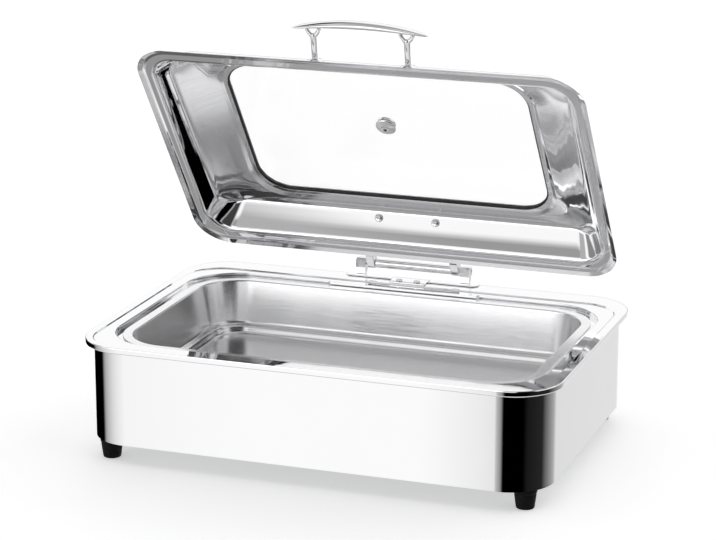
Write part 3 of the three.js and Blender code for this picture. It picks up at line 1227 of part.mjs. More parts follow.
housingBand();
basePlate();
feet();
topFrame();
foodPan();
waterPan();
heatingElement();
heaterSupports();
controlPanel();
controlBox();
thermostat();
smallControls();
powerInlet();
hinge();
lidShell();
lidWindow();
lidHinge();
handle();

lid.position.set(0, HINGE_Y, HINGE_Z);
lid.rotation.x = -LID_OPEN_ANGLE;
dish.add(lid);

// The box runs from the rim's front to the rearmost control, so the origin moves to its middle
const FRONT_REACH = -RIM_HALF_DEPTH;
const REAR_REACH = PANEL_FACE + KNOB_GAP + KNOB_HEIGHT + KNOB_GAP;
const model = new THREE.Group();
dish.position.y = -(FRONT_REACH + REAR_REACH) / 2;
model.add(dish);

export default model;
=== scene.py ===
"""Electric chafing dish with its lid held open, dressed for a soft white studio."""

import json
import math

import bmesh
import bpy
import numpy as np
from mathutils import Matrix, Vector


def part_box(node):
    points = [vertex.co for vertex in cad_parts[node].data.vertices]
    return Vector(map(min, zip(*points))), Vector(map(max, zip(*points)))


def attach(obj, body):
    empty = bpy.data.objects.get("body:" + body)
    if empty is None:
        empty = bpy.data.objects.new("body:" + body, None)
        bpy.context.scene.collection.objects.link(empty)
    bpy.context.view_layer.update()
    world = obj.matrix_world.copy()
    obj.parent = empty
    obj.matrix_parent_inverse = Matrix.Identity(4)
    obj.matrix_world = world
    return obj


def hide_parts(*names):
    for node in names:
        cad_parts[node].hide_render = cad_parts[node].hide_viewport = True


bl_info = {
    "name": "Electric chafing dish",
    "version": (1, 0, 0),
    "blender": (4, 5, 0),
    "location": "3D View > Sidebar > Dish",
    "description": "Builds the sheet metal, lid, handle, controls and studio of an electric chafing dish",
    "category": "Object",
}

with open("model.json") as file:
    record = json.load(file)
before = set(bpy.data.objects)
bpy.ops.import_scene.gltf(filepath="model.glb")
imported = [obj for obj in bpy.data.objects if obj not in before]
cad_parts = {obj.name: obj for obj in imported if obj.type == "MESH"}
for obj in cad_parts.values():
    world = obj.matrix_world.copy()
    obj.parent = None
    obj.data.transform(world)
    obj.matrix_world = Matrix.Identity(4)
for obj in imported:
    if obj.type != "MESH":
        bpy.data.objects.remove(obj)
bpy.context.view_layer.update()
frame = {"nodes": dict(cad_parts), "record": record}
RECORD = frame["record"]
BODY_OF = {node: body for body, nodes in RECORD["behaviour"]["bodies"].items() for node in nodes}
SLOT_OF = {part["node"]: part["material_slot"] for part in RECORD["subparts"]}

MM = 0.001
MERGE_DISTANCE = 2e-6

# Shares of a straight between two corners at which it gets its points
STRAIGHT_SHARES = (0.006, 0.03, 0.12, 0.3, 0.5, 0.7, 0.88, 0.97, 0.994)
# The most of a side that a bend takes, and where the flat beside it starts, in reaches and at most
BEND_SHARE, FLAT_REACH, FLAT_SHARE = 0.4, 1.35, 0.46


# Sizes and colours


class HousingSizes(bpy.types.PropertyGroup):
    """Sizes of the housing, its top frame and its feet."""

    half_length: bpy.props.FloatProperty(
        name="Half length", description="Middle to the side wall of the housing", default=0.2876, unit="LENGTH")
    half_depth: bpy.props.FloatProperty(
        name="Half depth", description="Middle to the front wall of the housing", default=0.195, unit="LENGTH")
    corner: bpy.props.FloatProperty(
        name="Corner", description="Radius of the housing's upright corners", default=0.054, unit="LENGTH")
    bend: bpy.props.FloatProperty(
        name="Bend", description="Radius of the frame's pressed bends", default=0.0012, unit="LENGTH")
    foot_round: bpy.props.FloatProperty(
        name="Foot edge", description="Rounding of a rubber foot's edges", default=0.0012, unit="LENGTH")


class LidSizes(bpy.types.PropertyGroup):
    """Sizes of the lid's pressing, window and handle."""

    crease: bpy.props.FloatProperty(
        name="Crease", description="Softness of the crease over the wall", default=0.006, unit="LENGTH")
    band_bend: bpy.props.FloatProperty(
        name="Band bend", description="Softness of the bends at the flat band", default=0.009, unit="LENGTH")
    bow: bpy.props.FloatProperty(
        name="Bow", description="How far the lid's flats bow between creases", default=0.0009, unit="LENGTH")
    open_angle: bpy.props.FloatProperty(
        name="Open angle", description="How far the lid stands open", default=math.radians(54), subtype="ANGLE")
    handle_length: bpy.props.FloatProperty(
        name="Handle length", description="Tip to tip of the handle's bar", default=0.173, unit="LENGTH")
    handle_rise: bpy.props.FloatProperty(
        name="Handle rise", description="Rise of the handle's arch in its middle", default=0.004, unit="LENGTH")


class FinishColours(bpy.types.PropertyGroup):
    """Colours that the finishes start from."""

    polished: bpy.props.StringProperty(
        name="Polished steel", description="Colour of mirror polished stainless", default="#EEEEEF")
    satin: bpy.props.StringProperty(
        name="Satin steel", description="Colour of the pan's satin stainless", default="#ECECED")
    rubber: bpy.props.StringProperty(
        name="Rubber", description="Colour of the feet", default="#101011")
    lamp: bpy.props.StringProperty(
        name="Lamp", description="Colour of the clear red plastic", default="#C7261A")


class StudioSettings(bpy.types.PropertyGroup):
    """Strength of the studio's light and the camera's lens."""

    brightness: bpy.props.FloatProperty(
        name="Brightness", description="Brightness of the white studio", default=1.1)
    lens: bpy.props.FloatProperty(
        name="Lens", description="Focal length in millimetres", default=133.42)
    floor_size: bpy.props.FloatProperty(
        name="Floor", description="Side of the pale floor", default=16.0, unit="LENGTH")


# Surfaces


def full_turn(count):
    """Angles evenly round a full turn."""
    return np.linspace(0, 2 * np.pi, count, endpoint=False)


def rings(rows, steps=20):
    """Rounded rectangles anticlockwise from above, by half length, half depth, centre y, radius, z and lift.

    Each corner is centre + radius * (cos a, sin a) for a quarter turn of a, and its height is
    z + lift * sin(a) squared. The straights are filled by points near both ends and in between.
    """
    turn = np.linspace(0, np.pi / 2, steps + 1)
    start = np.array([-np.pi / 2, 0, np.pi / 2, np.pi])
    angle = start[:, None] + turn
    sx, sy = np.array([1, 1, -1, -1]), np.array([-1, 1, 1, -1])
    half_x, half_y, centre_y, radius, z, lift = np.asarray(rows, float).T[..., None, None]
    x = sx[:, None] * (half_x - radius) + radius * np.cos(angle)
    y = centre_y + sy[:, None] * (half_y - radius) + radius * np.sin(angle)
    h = z + lift * np.sin(angle) ** 2 + 0 * x
    arcs = np.stack([x, y, h], -1)
    share = np.array(STRAIGHT_SHARES)[None, None, :, None]
    after = np.roll(arcs[:, :, :1], -1, axis=1)
    straights = arcs[:, :, -1:] * (1 - share) + after * share
    return np.concatenate([arcs, straights], 2).reshape(len(x), -1, 3)


def soften(points, reach, loop=False, steps=5):
    """Rounds the corners of a polyline of profile points.

    A corner P is swapped for the parabola (1-t)^2 A + 2t(1-t) P + t^2 C, with A and C a reach along
    the sides that meet in P, and for one point more on each side so that the flats shade flat.
    """
    p = np.asarray(points, float)
    reach = np.broadcast_to(np.asarray(reach, float), len(p))[:, None]
    before, after = np.roll(p, 1, 0), np.roll(p, -1, 0)
    if not loop:
        before[0], after[-1] = p[0], p[-1]
    bends, flats = [], []
    for side in (before - p, after - p):
        length = np.maximum(np.linalg.norm(side, axis=1, keepdims=True), 1e-9)
        bends.append(p + side * np.minimum(reach / length, BEND_SHARE))
        flats.append((p + side * np.minimum(FLAT_REACH * reach / length, FLAT_SHARE))[:, None])
    start, end = bends
    t = np.linspace(0, 1, steps + 1)[None, :, None]
    arc = (1 - t) ** 2 * start[:, None] + 2 * t * (1 - t) * p[:, None] + t ** 2 * end[:, None]
    out = np.concatenate([flats[0], arc, flats[1]], 1).reshape(-1, p.shape[1])
    if not loop:
        out = np.concatenate([p[:1], out[steps + 3:-(steps + 3)], p[-1:]])
    return out


def faces_of(rows, columns, loop_rows, loop_columns):
    """Quads of a grid of points, as an array of corner numbers."""
    r = np.arange(rows if loop_rows else rows - 1)[:, None]
    c = np.arange(columns if loop_columns else columns - 1)[None, :]
    r1, c1 = (r + 1) % rows, (c + 1) % columns
    quads = np.stack([r * columns + c, r * columns + c1, r1 * columns + c1, r1 * columns + c], -1)
    return quads.reshape(-1, 4)


def volume_of(points, quads):
    """Six times the signed volume under the quads, each taken as the triangles a b c and a c d."""
    a, b, c, d = (points[quads[:, i]] for i in range(4))
    return np.einsum("ij,ij->i", a, np.cross(b, c)).sum() + np.einsum("ij,ij->i", a, np.cross(c, d)).sum()


def rework(mesh, *changes):
    """Runs changes on a mesh, each a function of the editable copy."""
    work = bmesh.new()
    work.from_mesh(mesh)
    for change in changes:
        change(work)
    work.to_mesh(mesh)
    work.free()


def merge(work):
    """Joins points that share a place, such as the poles of a turned piece."""
    bmesh.ops.remove_doubles(work, verts=work.verts, dist=MERGE_DISTANCE)


def join_flats(work):
    """Joins the faces of one flat."""
    bmesh.ops.dissolve_limit(work, angle_limit=math.radians(0.5), verts=work.verts, edges=work.edges)


def turn_outwards(work):
    """Turns all faces outwards."""
    bmesh.ops.recalc_face_normals(work, faces=work.faces)


def skin(name, grids, nodes, body=None, slot=None):
    """Makes one closed mesh from grids of points in millimetres and hangs it on its body.

    Each grid is (points, rows join up, columns join up). Poles are merged, and faces are turned
    outwards by the sign of the volume they hold.
    """
    points, quads, first = [], [], 0
    for grid, loop_rows, loop_columns in grids:
        own = grid.reshape(-1, 3) * MM
        faces = faces_of(*grid.shape[:2], loop_rows, loop_columns)
        points.append(own)
        quads.append((faces if volume_of(own, faces) > 0 else faces[:, ::-1]) + first)
        first += len(own)
    mesh = bpy.data.meshes.new(name)
    mesh.from_pydata(np.concatenate(points).tolist(), [], np.concatenate(quads).tolist())
    rework(mesh, merge)
    mesh.validate()
    hang(name, mesh, nodes, body, slot)


def hang(name, mesh, nodes, body=None, slot=None, sharp=35):
    """Puts a mesh in the scene with its slot's finish, its body and the nodes it stands for.

    Edges steeper than sharp degrees stay crisp.
    """
    slot = slot or SLOT_OF[nodes[0]]
    mesh.polygons.foreach_set("use_smooth", np.ones(len(mesh.polygons), bool))
    mesh.set_sharp_from_angle(angle=math.radians(sharp))
    mesh.materials.clear()
    mesh.materials.append(FINISH[slot])
    piece = bpy.data.objects.new(name, mesh)
    bpy.context.scene.collection.objects.link(piece)
    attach(piece, body or BODY_OF[nodes[0]])
    if nodes:
        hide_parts(*nodes)
    return piece


def turned(profile, columns=48, reach=0.6, loop=True, steps=4):
    """A profile of radius and height turned about +Z: (r cos a, r sin a, h)."""
    rh = soften(profile, reach, loop=loop, steps=steps)
    a = full_turn(columns)
    grid = np.stack([rh[:, :1] * np.cos(a), rh[:, :1] * np.sin(a), rh[:, 1:] + 0 * a], -1)
    return grid, loop, True


def tube(path, radius_a, radius_b, side, columns=24):
    """An oval carried along a path: P(s) + ra(s) cos a * side + rb(s) sin a * up. Its ends shrink shut."""
    tangent = np.gradient(path, axis=0)
    tangent /= np.linalg.norm(tangent, axis=1, keepdims=True)
    side = np.broadcast_to(np.asarray(side, float), path.shape)
    side = side - tangent * np.einsum("ij,ij->i", side, tangent)[:, None]
    side = side / np.linalg.norm(side, axis=1, keepdims=True)
    up = np.cross(tangent, side)
    a = full_turn(columns)
    across = radius_a[:, None, None] * np.cos(a)[None, :, None] * side[:, None]
    upwards = radius_b[:, None, None] * np.sin(a)[None, :, None] * up[:, None]
    return path[:, None] + across + upwards, False, True


def placed(grid, matrix):
    """A grid's points carried by a 4 x 4 matrix, in millimetres."""
    points, loop_rows, loop_columns = grid
    m = np.array(matrix)
    return points @ m[:3, :3].T + m[:3, 3], loop_rows, loop_columns


def dress(node, bevel=0.3, sharp=30, segments=2):
    """A merged copy of a CAD node with softened edges, in place of the node."""
    mesh = frame["nodes"][node].data.copy()
    mesh.name = node + "_dressed"
    rework(mesh, merge, join_flats)
    piece = hang(node + "_dressed", mesh, [node], sharp=sharp)
    if bevel:
        edge = piece.modifiers.new("Softened edges", "BEVEL")
        edge.width = bevel * MM
        edge.segments = segments
        edge.limit_method = "ANGLE"
        edge.angle_limit = math.radians(sharp)
    flat = piece.modifiers.new("Flat faces", "WEIGHTED_NORMAL")
    flat.keep_sharp = True
    flat.weight = 100


# Finishes


def linear(hex_colour):
    """An sRGB hex colour as linear red, green, blue and one."""
    c = np.array([int(hex_colour[i:i + 2], 16) for i in (1, 3, 5)]) / 255
    c = np.where(c <= 0.04045, c / 12.92, ((c + 0.055) / 1.055) ** 2.4)
    return (*c.tolist(), 1.0)


def add(tree, kind, links=(), **values):
    """Adds one node; values are for its own fields, or for its inputs where the name is an input's."""
    node = tree.nodes.new(kind)
    for key, value in values.items():
        if hasattr(node, key):
            setattr(node, key, value)
        else:
            node.inputs[key.replace("_", " ")].default_value = value
    for source, name in links:
        tree.links.new(source, node.inputs[name])
    return node


def finish(name, colour, metallic, roughness, **more):
    """A material with its shader, ready for its pattern; constants sit on the shader's own sockets."""
    material = bpy.data.materials.new(name)
    material.use_nodes = True
    tree = material.node_tree
    shader = tree.nodes["Principled BSDF"]
    more.update(Base_Color=linear(colour), Metallic=metallic, Roughness=roughness)
    for key, value in more.items():
        shader.inputs[key.replace("_", " ")].default_value = value
    where = add(tree, "ShaderNodeTexCoord").outputs["Object"]
    return material, tree, shader, where


def grain(tree, where, size_mm, stretch=(1, 1, 1), detail=2.0, rough=0.5):
    """Noise whose features are about size_mm across, longer along an axis whose stretch is above one."""
    scale = [1000 / (size_mm * s) for s in stretch]
    at = add(tree, "ShaderNodeMapping", [(where, "Vector")], Scale=scale)
    return add(tree, "ShaderNodeTexNoise", [(at.outputs["Vector"], "Vector")], Scale=1.0, Detail=detail,
               Roughness=rough).outputs["Fac"]


def spread(tree, value, low, high, start=0.3, end=0.7):
    """Maps a pattern from start..end to low..high."""
    return add(tree, "ShaderNodeMapRange", [(value, "Value")], From_Min=start, From_Max=end, To_Min=low,
               To_Max=high).outputs["Result"]


def maths(tree, operation, first, second=None):
    """One operation on two numbers or outputs."""
    node = add(tree, "ShaderNodeMath", operation=operation)
    for socket, value in zip(node.inputs, (first, second)):
        if isinstance(value, bpy.types.NodeSocket):
            tree.links.new(value, socket)
        elif value is not None:
            socket.default_value = value
    return node.outputs[0]


def blend_values(tree, share, first, second):
    """first + share * (second - first)."""
    return maths(tree, "ADD", first, maths(tree, "MULTIPLY", share, maths(tree, "SUBTRACT", second, first)))


def bump(tree, shader, height, strength, depth_mm, below=None):
    """Sets a bump of a real depth on a shader, over an earlier bump where one is given."""
    links = [(height, "Height")] + ([(below, "Normal")] if below else [])
    node = add(tree, "ShaderNodeBump", links, Strength=strength, Distance=depth_mm * MM)
    tree.links.new(node.outputs["Normal"], shader.inputs["Normal"])
    return node.outputs["Normal"]


def tint(tree, shader, value, low, high):
    """Lets a pattern run the base colour between two hex colours."""
    mix = add(tree, "ShaderNodeMix", data_type="RGBA")
    tree.links.new(value, mix.inputs["Factor"])
    colours = [s for s in mix.inputs if s.type == "RGBA"]
    colours[0].default_value, colours[1].default_value = linear(low), linear(high)
    out = [s for s in mix.outputs if s.type == "RGBA"][0]
    tree.links.new(out, shader.inputs["Base Color"])


def polished_stainless(colours):
    """Mirror polished 304 sheet: near-perfect reflections that the sheet's slight waves bend."""
    material, tree, shader, where = finish("polished_stainless_sheet", colours.polished, 1.0, 0.05)
    # Polishing haze comes and goes over some 35 mm
    haze = spread(tree, grain(tree, where, 35), 0.02, 0.055)
    tree.links.new(haze, shader.inputs["Roughness"])
    # Press waves 70 mm long and two hundredths of a millimetre high
    first = bump(tree, shader, grain(tree, where, 70, detail=1.0), 0.35, 0.05)
    # Wipe marks 2.5 mm apart and six times as long show in the brightest places
    bump(tree, shader, grain(tree, where, 2.5, stretch=(6, 1, 1)), 0.06, 0.004, first)
    return material


def satin_stainless(colours):
    """Satin finished pressed stainless: broad soft reflections with a fine grain along the pan."""
    material, tree, shader, where = finish("satin_stainless_pressing", colours.satin, 1.0, 0.2)
    # Belt grain 0.4 mm wide, drawn 1.2 mm wide because the real one is finer than a pixel
    lines = grain(tree, where, 1.2, stretch=(30, 1, 1), detail=3)
    tree.links.new(spread(tree, lines, 0.16, 0.27), shader.inputs["Roughness"])
    # Press waves 55 mm long and a hundredth of a millimetre high
    first = bump(tree, shader, grain(tree, where, 55, detail=1.0), 0.25, 0.04)
    bump(tree, shader, lines, 0.12, 0.01, first)
    return material


def mill_stainless():
    """Mill finish sheet as it comes off the rolls: dull grey with a cloudy grain."""
    material, tree, shader, where = finish("mill_finish_stainless", "#B9BBBD", 1.0, 0.36)
    # Rolling grain 2 mm apart, and clouds 40 mm across
    lines = grain(tree, where, 2, stretch=(25, 1, 1), detail=3)
    tree.links.new(spread(tree, lines, 0.3, 0.45), shader.inputs["Roughness"])
    tint(tree, shader, grain(tree, where, 40), "#AEB0B2", "#C2C4C5")
    bump(tree, shader, lines, 0.1, 0.01)
    return material


def oxidised_sheath():
    """Heater sheath of nickel alloy, annealed: brown-grey oxide that darkens in patches."""
    material, tree, shader, where = finish("oxidised_heater_sheath", "#5E5A55", 0.8, 0.5)
    tint(tree, shader, grain(tree, where, 12, detail=4), "#4A4540", "#7A736A")
    bump(tree, shader, grain(tree, where, 0.8), 0.2, 0.02)
    return material


def moulded_rubber(colours):
    """Compression moulded rubber: near black and dull, its tone varying a little at random; the soft grey bloom
    on its edges is not drawn.
    """
    material, tree, shader, where = finish(
        "moulded_black_rubber", colours.rubber, 0.0, 0.62, Specular_IOR_Level=0.15)
    tint(tree, shader, grain(tree, where, 9, detail=4), "#050506", "#0B0B0C")
    tree.links.new(spread(tree, grain(tree, where, 3), 0.5, 0.72), shader.inputs["Roughness"])
    # Spark-eroded mould texture, drawn 0.7 mm across
    bump(tree, shader, grain(tree, where, 0.7), 0.3, 0.03)
    return material


def silicone_seal():
    """Extruded black silicone: smooth, slightly glossy."""
    material, tree, shader, where = finish("black_silicone_seal", "#131313", 0.0, 0.42)
    tint(tree, shader, grain(tree, where, 14), "#101010", "#1C1C1C")
    bump(tree, shader, grain(tree, where, 1.5), 0.15, 0.02)
    return material


def moulded_plastic():
    """Injection moulded black plastic with a fine spark texture, drawn 0.6 mm across."""
    material, tree, shader, where = finish("moulded_black_plastic", "#1E1E1F", 0.0, 0.4)
    tint(tree, shader, grain(tree, where, 10), "#1A1A1B", "#252526")
    tree.links.new(spread(tree, grain(tree, where, 2), 0.34, 0.46), shader.inputs["Roughness"])
    bump(tree, shader, grain(tree, where, 0.6), 0.35, 0.02)
    return material


def lamp_plastic(colours):
    """Clear red plastic: light goes into it and comes back saturated."""
    material, tree, shader, where = finish(
        "clear_red_plastic", colours.lamp, 0.0, 0.12, Transmission_Weight=0.35, IOR=1.49)
    tint(tree, shader, grain(tree, where, 3), "#B81E14", "#D6342A")
    bump(tree, shader, grain(tree, where, 1), 0.1, 0.01)
    return material


def terminal_ceramic():
    """Steatite: pale, unglazed, with faint specks."""
    material, tree, shader, where = finish("unglazed_steatite", "#DAD5C9", 0.0, 0.55)
    tint(tree, shader, grain(tree, where, 1.5, detail=4), "#CFC9BB", "#E4E0D6")
    bump(tree, shader, grain(tree, where, 0.8), 0.25, 0.03)
    return material


def float_glass():
    """Tempered float glass: clear and flat; the faint green through its edge is not drawn."""
    material, tree, shader, where = finish(
        "tempered_float_glass", "#FFFFFF", 0.0, 0.0, Transmission_Weight=1.0, IOR=1.5)
    # Roller waves of tempering, 90 mm long and a few microns high
    bump(tree, shader, grain(tree, where, 90, detail=0.0), 0.2, 0.01)
    return material


FINISH = {}


def make_finishes():
    """Makes each finish once, by the record's slot."""
    colours = bpy.context.scene.dish_colours
    FINISH.update(
        polished_steel=polished_stainless(colours), satin_steel=satin_stainless(colours),
        sheet_steel=mill_stainless(), heater_steel=oxidised_sheath(), black_rubber=moulded_rubber(colours),
        silicone=silicone_seal(), black_plastic=moulded_plastic(), lamp_red=lamp_plastic(colours),
        ceramic=terminal_ceramic(), clear_glass=float_glass(),
    )


# Dish: housing, frame, pan, feet

# Heights and middles that the CAD shares between pieces, in millimetres as all sizes below
ROW_SHIFT = -5.7
BEAD_Z, SEAT_Z, LEDGE_Z = 149.6, 148.2, 142.2
SHEET = 1.0
PAN_CENTRE = -9.6 + ROW_SHIFT
LID_CENTRE = -13.5 + ROW_SHIFT
BAND_LOW, BAND_SEAM, BAND_HIGH = 25.0, 40.0, 146.9
# The opening for the controls in the rear wall
CUT_LEFT, CUT_RIGHT, CUT_LOW, CUT_HIGH = 69.0, 227.0, 54.95, 116.95
RIM_HEIGHT, RIM_HEM = 7.2, 9.1
COLLAR_DEPTH = 14
HINGE_LEDGE = ((-102, 0.5), (-98.5, -3.5), (98.5, -3.5), (102, 0.5))
PAN_TOP, PAN_DEPTH, PAN_SHEET = 144.2, 65.0, 0.9
PAN_FLANGE, PAN_LIP, PAN_STEP = 12.5, 1.7, 9
FEET = (("front_left", -1, -173.7), ("front_right", 1, -173.7), ("rear_left", -1, 162.3),
        ("rear_right", 1, 162.3))
FOOT_X = 260.6


def outline(half_x, half_y, centre, corner):
    """A rounded rectangle as a row for rings, for the growth outwards and the height that it is given."""
    return lambda grow, z: (half_x + grow, half_y + grow, centre, corner + grow, z, 0)


def make_housing():
    """Housing band: two rounded rectangles a sheet apart, swept up the band, with the opening in its rear."""
    housing = bpy.context.scene.dish_housing
    half_x, half_y, corner = housing.half_length / MM, housing.half_depth / MM, housing.corner / MM
    wall = outline(half_x, half_y, ROW_SHIFT, corner)
    heights = (BAND_LOW, BAND_SEAM, CUT_LOW, CUT_HIGH, BAND_HIGH)
    grid = rings([wall(0.0, z) for z in heights] + [wall(-SHEET, z) for z in heights[::-1]])
    rear = grid[0, :, 1] > ROW_SHIFT + half_y - SHEET - 0.5
    steps = np.where(rear & (np.abs(grid[0, :, 0]) < half_x - corner - 1))[0]
    sides = [steps[np.argmin(np.abs(grid[0, steps, 0] - x))] for x in (CUT_LEFT, CUT_RIGHT)]
    grid[:, sides, 0] = CUT_LEFT, CUT_RIGHT
    first, last = sorted(sides)
    columns = grid.shape[1]
    quads = faces_of(*grid.shape[:2], True, True)
    row, column = quads[:, 0] // columns, quads[:, 0] % columns
    # The opening lies between rows 2 and 3 of the outer skin and between rows 6 and 7 of the inner one
    gone = (column >= first) & (column < last) & ((row == 2) | (row == 6))
    across = np.arange(first, last + 1)
    outer, inner = (np.concatenate([low * columns + across, high * columns + across[::-1]])
                    for low, high in ((2, 3), (7, 6)))
    edge = np.stack([outer, np.roll(outer, -1), np.roll(inner, -1), inner], -1)
    faces = np.concatenate([quads[~gone], edge[:, ::-1]])
    points = grid.reshape(-1, 3) * MM
    if volume_of(points, quads) < 0:
        faces = faces[:, ::-1]
    mesh = bpy.data.meshes.new("housing_band_sheet")
    mesh.from_pydata(points.tolist(), [], faces.tolist())
    rework(mesh, turn_outwards)
    hang("housing_band_sheet", mesh, ["housing_band"])


def middle_of(row):
    """A row of the same length whose points all lie in the row's middle, at the row's heights."""
    return row * [0, 0, 1] + row.mean(0) * [1, 1, 0]


def make_top_frame():
    """Top frame: one profile from the pan's collar over ledge, channel wall, seat and bead to the rolled rim.

    The profile's rows are rounded rectangles whose middle and corner radius change from the pan to the
    rim, and every bend is softened before the rows are drawn.
    """
    bend = bpy.context.scene.dish_housing.bend / MM
    rim = outline(297.0, 204.4, ROW_SHIFT, 60)
    collar = outline(255.1, 152.6, PAN_CENTRE, 56.6)
    channel_depth = 169.5
    channel = outline(272.0, channel_depth, PAN_CENTRE, 69.1)
    seat = outline(284.7, 183.1, LID_CENTRE, 47)
    rim_low, collar_low = BEAD_Z - RIM_HEIGHT, LEDGE_Z - COLLAR_DEPTH
    profile = [
        collar(0, collar_low), collar(0, LEDGE_Z), channel(0, LEDGE_Z), channel(0, SEAT_Z), seat(0, SEAT_Z),
        seat(1.2, BEAD_Z), rim(0, BEAD_Z), rim(0, rim_low), rim(-RIM_HEM, rim_low),
        rim(-RIM_HEM, SEAT_Z - SHEET), channel(SHEET, SEAT_Z - SHEET), channel(SHEET, LEDGE_Z - SHEET),
        collar(SHEET, LEDGE_Z - SHEET), collar(SHEET, collar_low),
    ]
    reach = [0.2, bend, 0.8, bend, 0.7, 0.6, 2.2, 1.4, 0.3, 0.3, 0.3, 0.3, 0.3, 0.2]
    grid = rings(soften(profile, reach, loop=True))
    # The ledge under the hinge: a thin tapered block whose two ends close on their middle
    top = np.array(HINGE_LEDGE) + [0, PAN_CENTRE + channel_depth]
    ledge = []
    for shrink, z in ((0.0, LEDGE_Z - SHEET), (0.0, SEAT_Z - 0.5), (0.5, SEAT_Z)):
        row = top * [1 - shrink / 100, 1]
        row[1:3, 1] += shrink
        ledge.append(np.column_stack([row, np.full(4, z)]))
    ledge = [middle_of(ledge[0]), *ledge, middle_of(ledge[-1])]
    skin("top_frame_sheet", [(grid, True, True), (np.array(ledge), False, True)], ["top_frame"])


def make_food_pan():
    """Food pan: rolled flange, drafted walls, a shelf and a sunken floor, as one softened profile."""
    floor = PAN_TOP - PAN_DEPTH
    shelf = floor + PAN_STEP
    wall_foot, step_edge, floor_edge, floor_inner = PAN_FLANGE + 10.0, PAN_FLANGE + 18.0, PAN_FLANGE + 21.5, 60
    t = PAN_SHEET

    def line(inset, z):
        return (265 - inset, 162.5 - inset, PAN_CENTRE, max(66.5 - inset, 6), z, 0)

    inner = [
        line(floor_inner, floor), line(floor_edge, floor), line(step_edge, shelf), line(wall_foot, shelf),
        line(PAN_FLANGE, PAN_TOP), line(0.0, PAN_TOP), line(0.0, PAN_TOP - PAN_LIP),
    ]
    outer = [
        line(t, PAN_TOP - PAN_LIP), line(t, PAN_TOP - t), line(PAN_FLANGE - t, PAN_TOP - t),
        line(wall_foot - t, shelf - t), line(step_edge - t, shelf - t), line(floor_edge - t, floor - t),
        line(floor_inner, floor - t),
    ]
    inside = soften(inner, [0, 4, 4, 5, 2.6, 0.8, 0.1], steps=7)
    outside = soften(outer, [0.1, 0.3, 1.8, 4, 4, 4, 0], steps=5)
    grid = rings(np.concatenate([inside, outside]))
    # The floor closes on the pan's middle line, inside and outside
    grid = np.concatenate([[middle_of(grid[0])], grid, [middle_of(grid[-1])]])
    skin("food_pan_pressing", [(grid, False, True)], ["food_pan"])


def make_feet():
    """Rubber feet: a tapered profile with rounded edges and a shallow groove, turned about the foot's axis."""
    edge = bpy.context.scene.dish_housing.foot_round / MM
    profile = [
        (5.5, 0), (10.6, 0), (11.2, 3), (13.0, 16.5), (12.8, 18.2), (13.9, 20.5), (14.0, 25.7), (2.4, 25.7),
        (2.4, 12), (5.5, 12),
    ]
    reach = [0.3, 1.4, 1.4, 0.5, 0.5, 0.8, edge, 0.2, 0.2, 0.2]
    for where, side, y in FEET:
        grid = placed(turned(profile, 56, reach), Matrix.Translation((side * FOOT_X, y, 0)))
        skin("foot_" + where + "_rubber", [grid], ["foot_" + where])


# Lid

LID_HALF_LENGTH, LID_HALF_DEPTH = 282.7, 181.1
LID_DEPTH = 2 * LID_HALF_DEPTH
# Where the open lid's rear edge lies, as y and z
LID_REAR = (162.8, 184.3)
# Rows of the lid's profile: insets at the sides and at the ends, rise, lift of the ends
HEM_ROW = (0, 0, 0, 0)
EDGE_ROW = (5.5, 5.5, 3.0, 0.0)
BAND_ROW = (8.5, 9.5, 4.0, 0)
WALL_FOOT = (17.5, 22.5, 4.0, 0.0)
WALL_TOP = (28.5, 41.2, 26.0, 14.3)
PANEL_TOP = (78.7, 54.5, 43.0, 0.0)
BEAD_ROW = (83.7, 59.5, 45, 0)
LIP_ROW = (88.7, 64.5, 45, 0)
WALL_SLOPE = math.atan2(WALL_TOP[2] + WALL_TOP[3] - WALL_FOOT[2], WALL_TOP[1] - WALL_FOOT[1])
BRACKET_SCREW_X, HANDLE_X = 38, 59
BRACKET_SCREW_UP, HANDLE_UP = 33, 29.4


def lid_matrix():
    """Carries lid points (across, from the rear edge forwards, out of the flange) to the open lid."""
    angle = bpy.context.scene.dish_lid.open_angle
    c, s = math.cos(angle), math.sin(angle)
    y, z = LID_REAR
    return Matrix(((1, 0, 0, 0), (0, -c, s, y), (0, s, c, z), (0, 0, 0, 1)))


def wall_place(rear, up):
    """A point on the lid's rear or front wall, so far up from the wall's foot, and the way into the lid."""
    c, s = math.cos(WALL_SLOPE), math.sin(WALL_SLOPE)
    forwards = WALL_FOOT[1] + up * c
    if not rear:
        forwards, s = LID_DEPTH - forwards, -s
    return Vector((0, forwards, WALL_FOOT[2] + up * abs(s))), Vector((0, s, -c))


def lid_row(at, radius, out=0.0, up=0.0):
    """One row of the lid's profile as a row for rings, grown outwards and raised."""
    return (LID_HALF_LENGTH - at[0] - out, LID_HALF_DEPTH - at[1] - out, LID_HALF_DEPTH, radius - out,
            at[2] + up, at[3])


def bowed(low, high, bow):
    """Three rows between two, pushed out by bow * 4 t (1 - t), across the longer of their two ways."""
    t = np.array([[0.32], [0.5], [0.68]])
    rows = np.array(low) * (1 - t) + np.array(high) * t
    push = bow * 4 * t[:, 0] * (1 - t[:, 0])
    steep = abs(high[4] - low[4]) > abs(high[0] - low[0])
    rows[:, :2] += push[:, None] * steep
    rows[:, 3] += push * steep
    rows[:, 4] += push * (not steep)
    return [tuple(row) for row in rows]


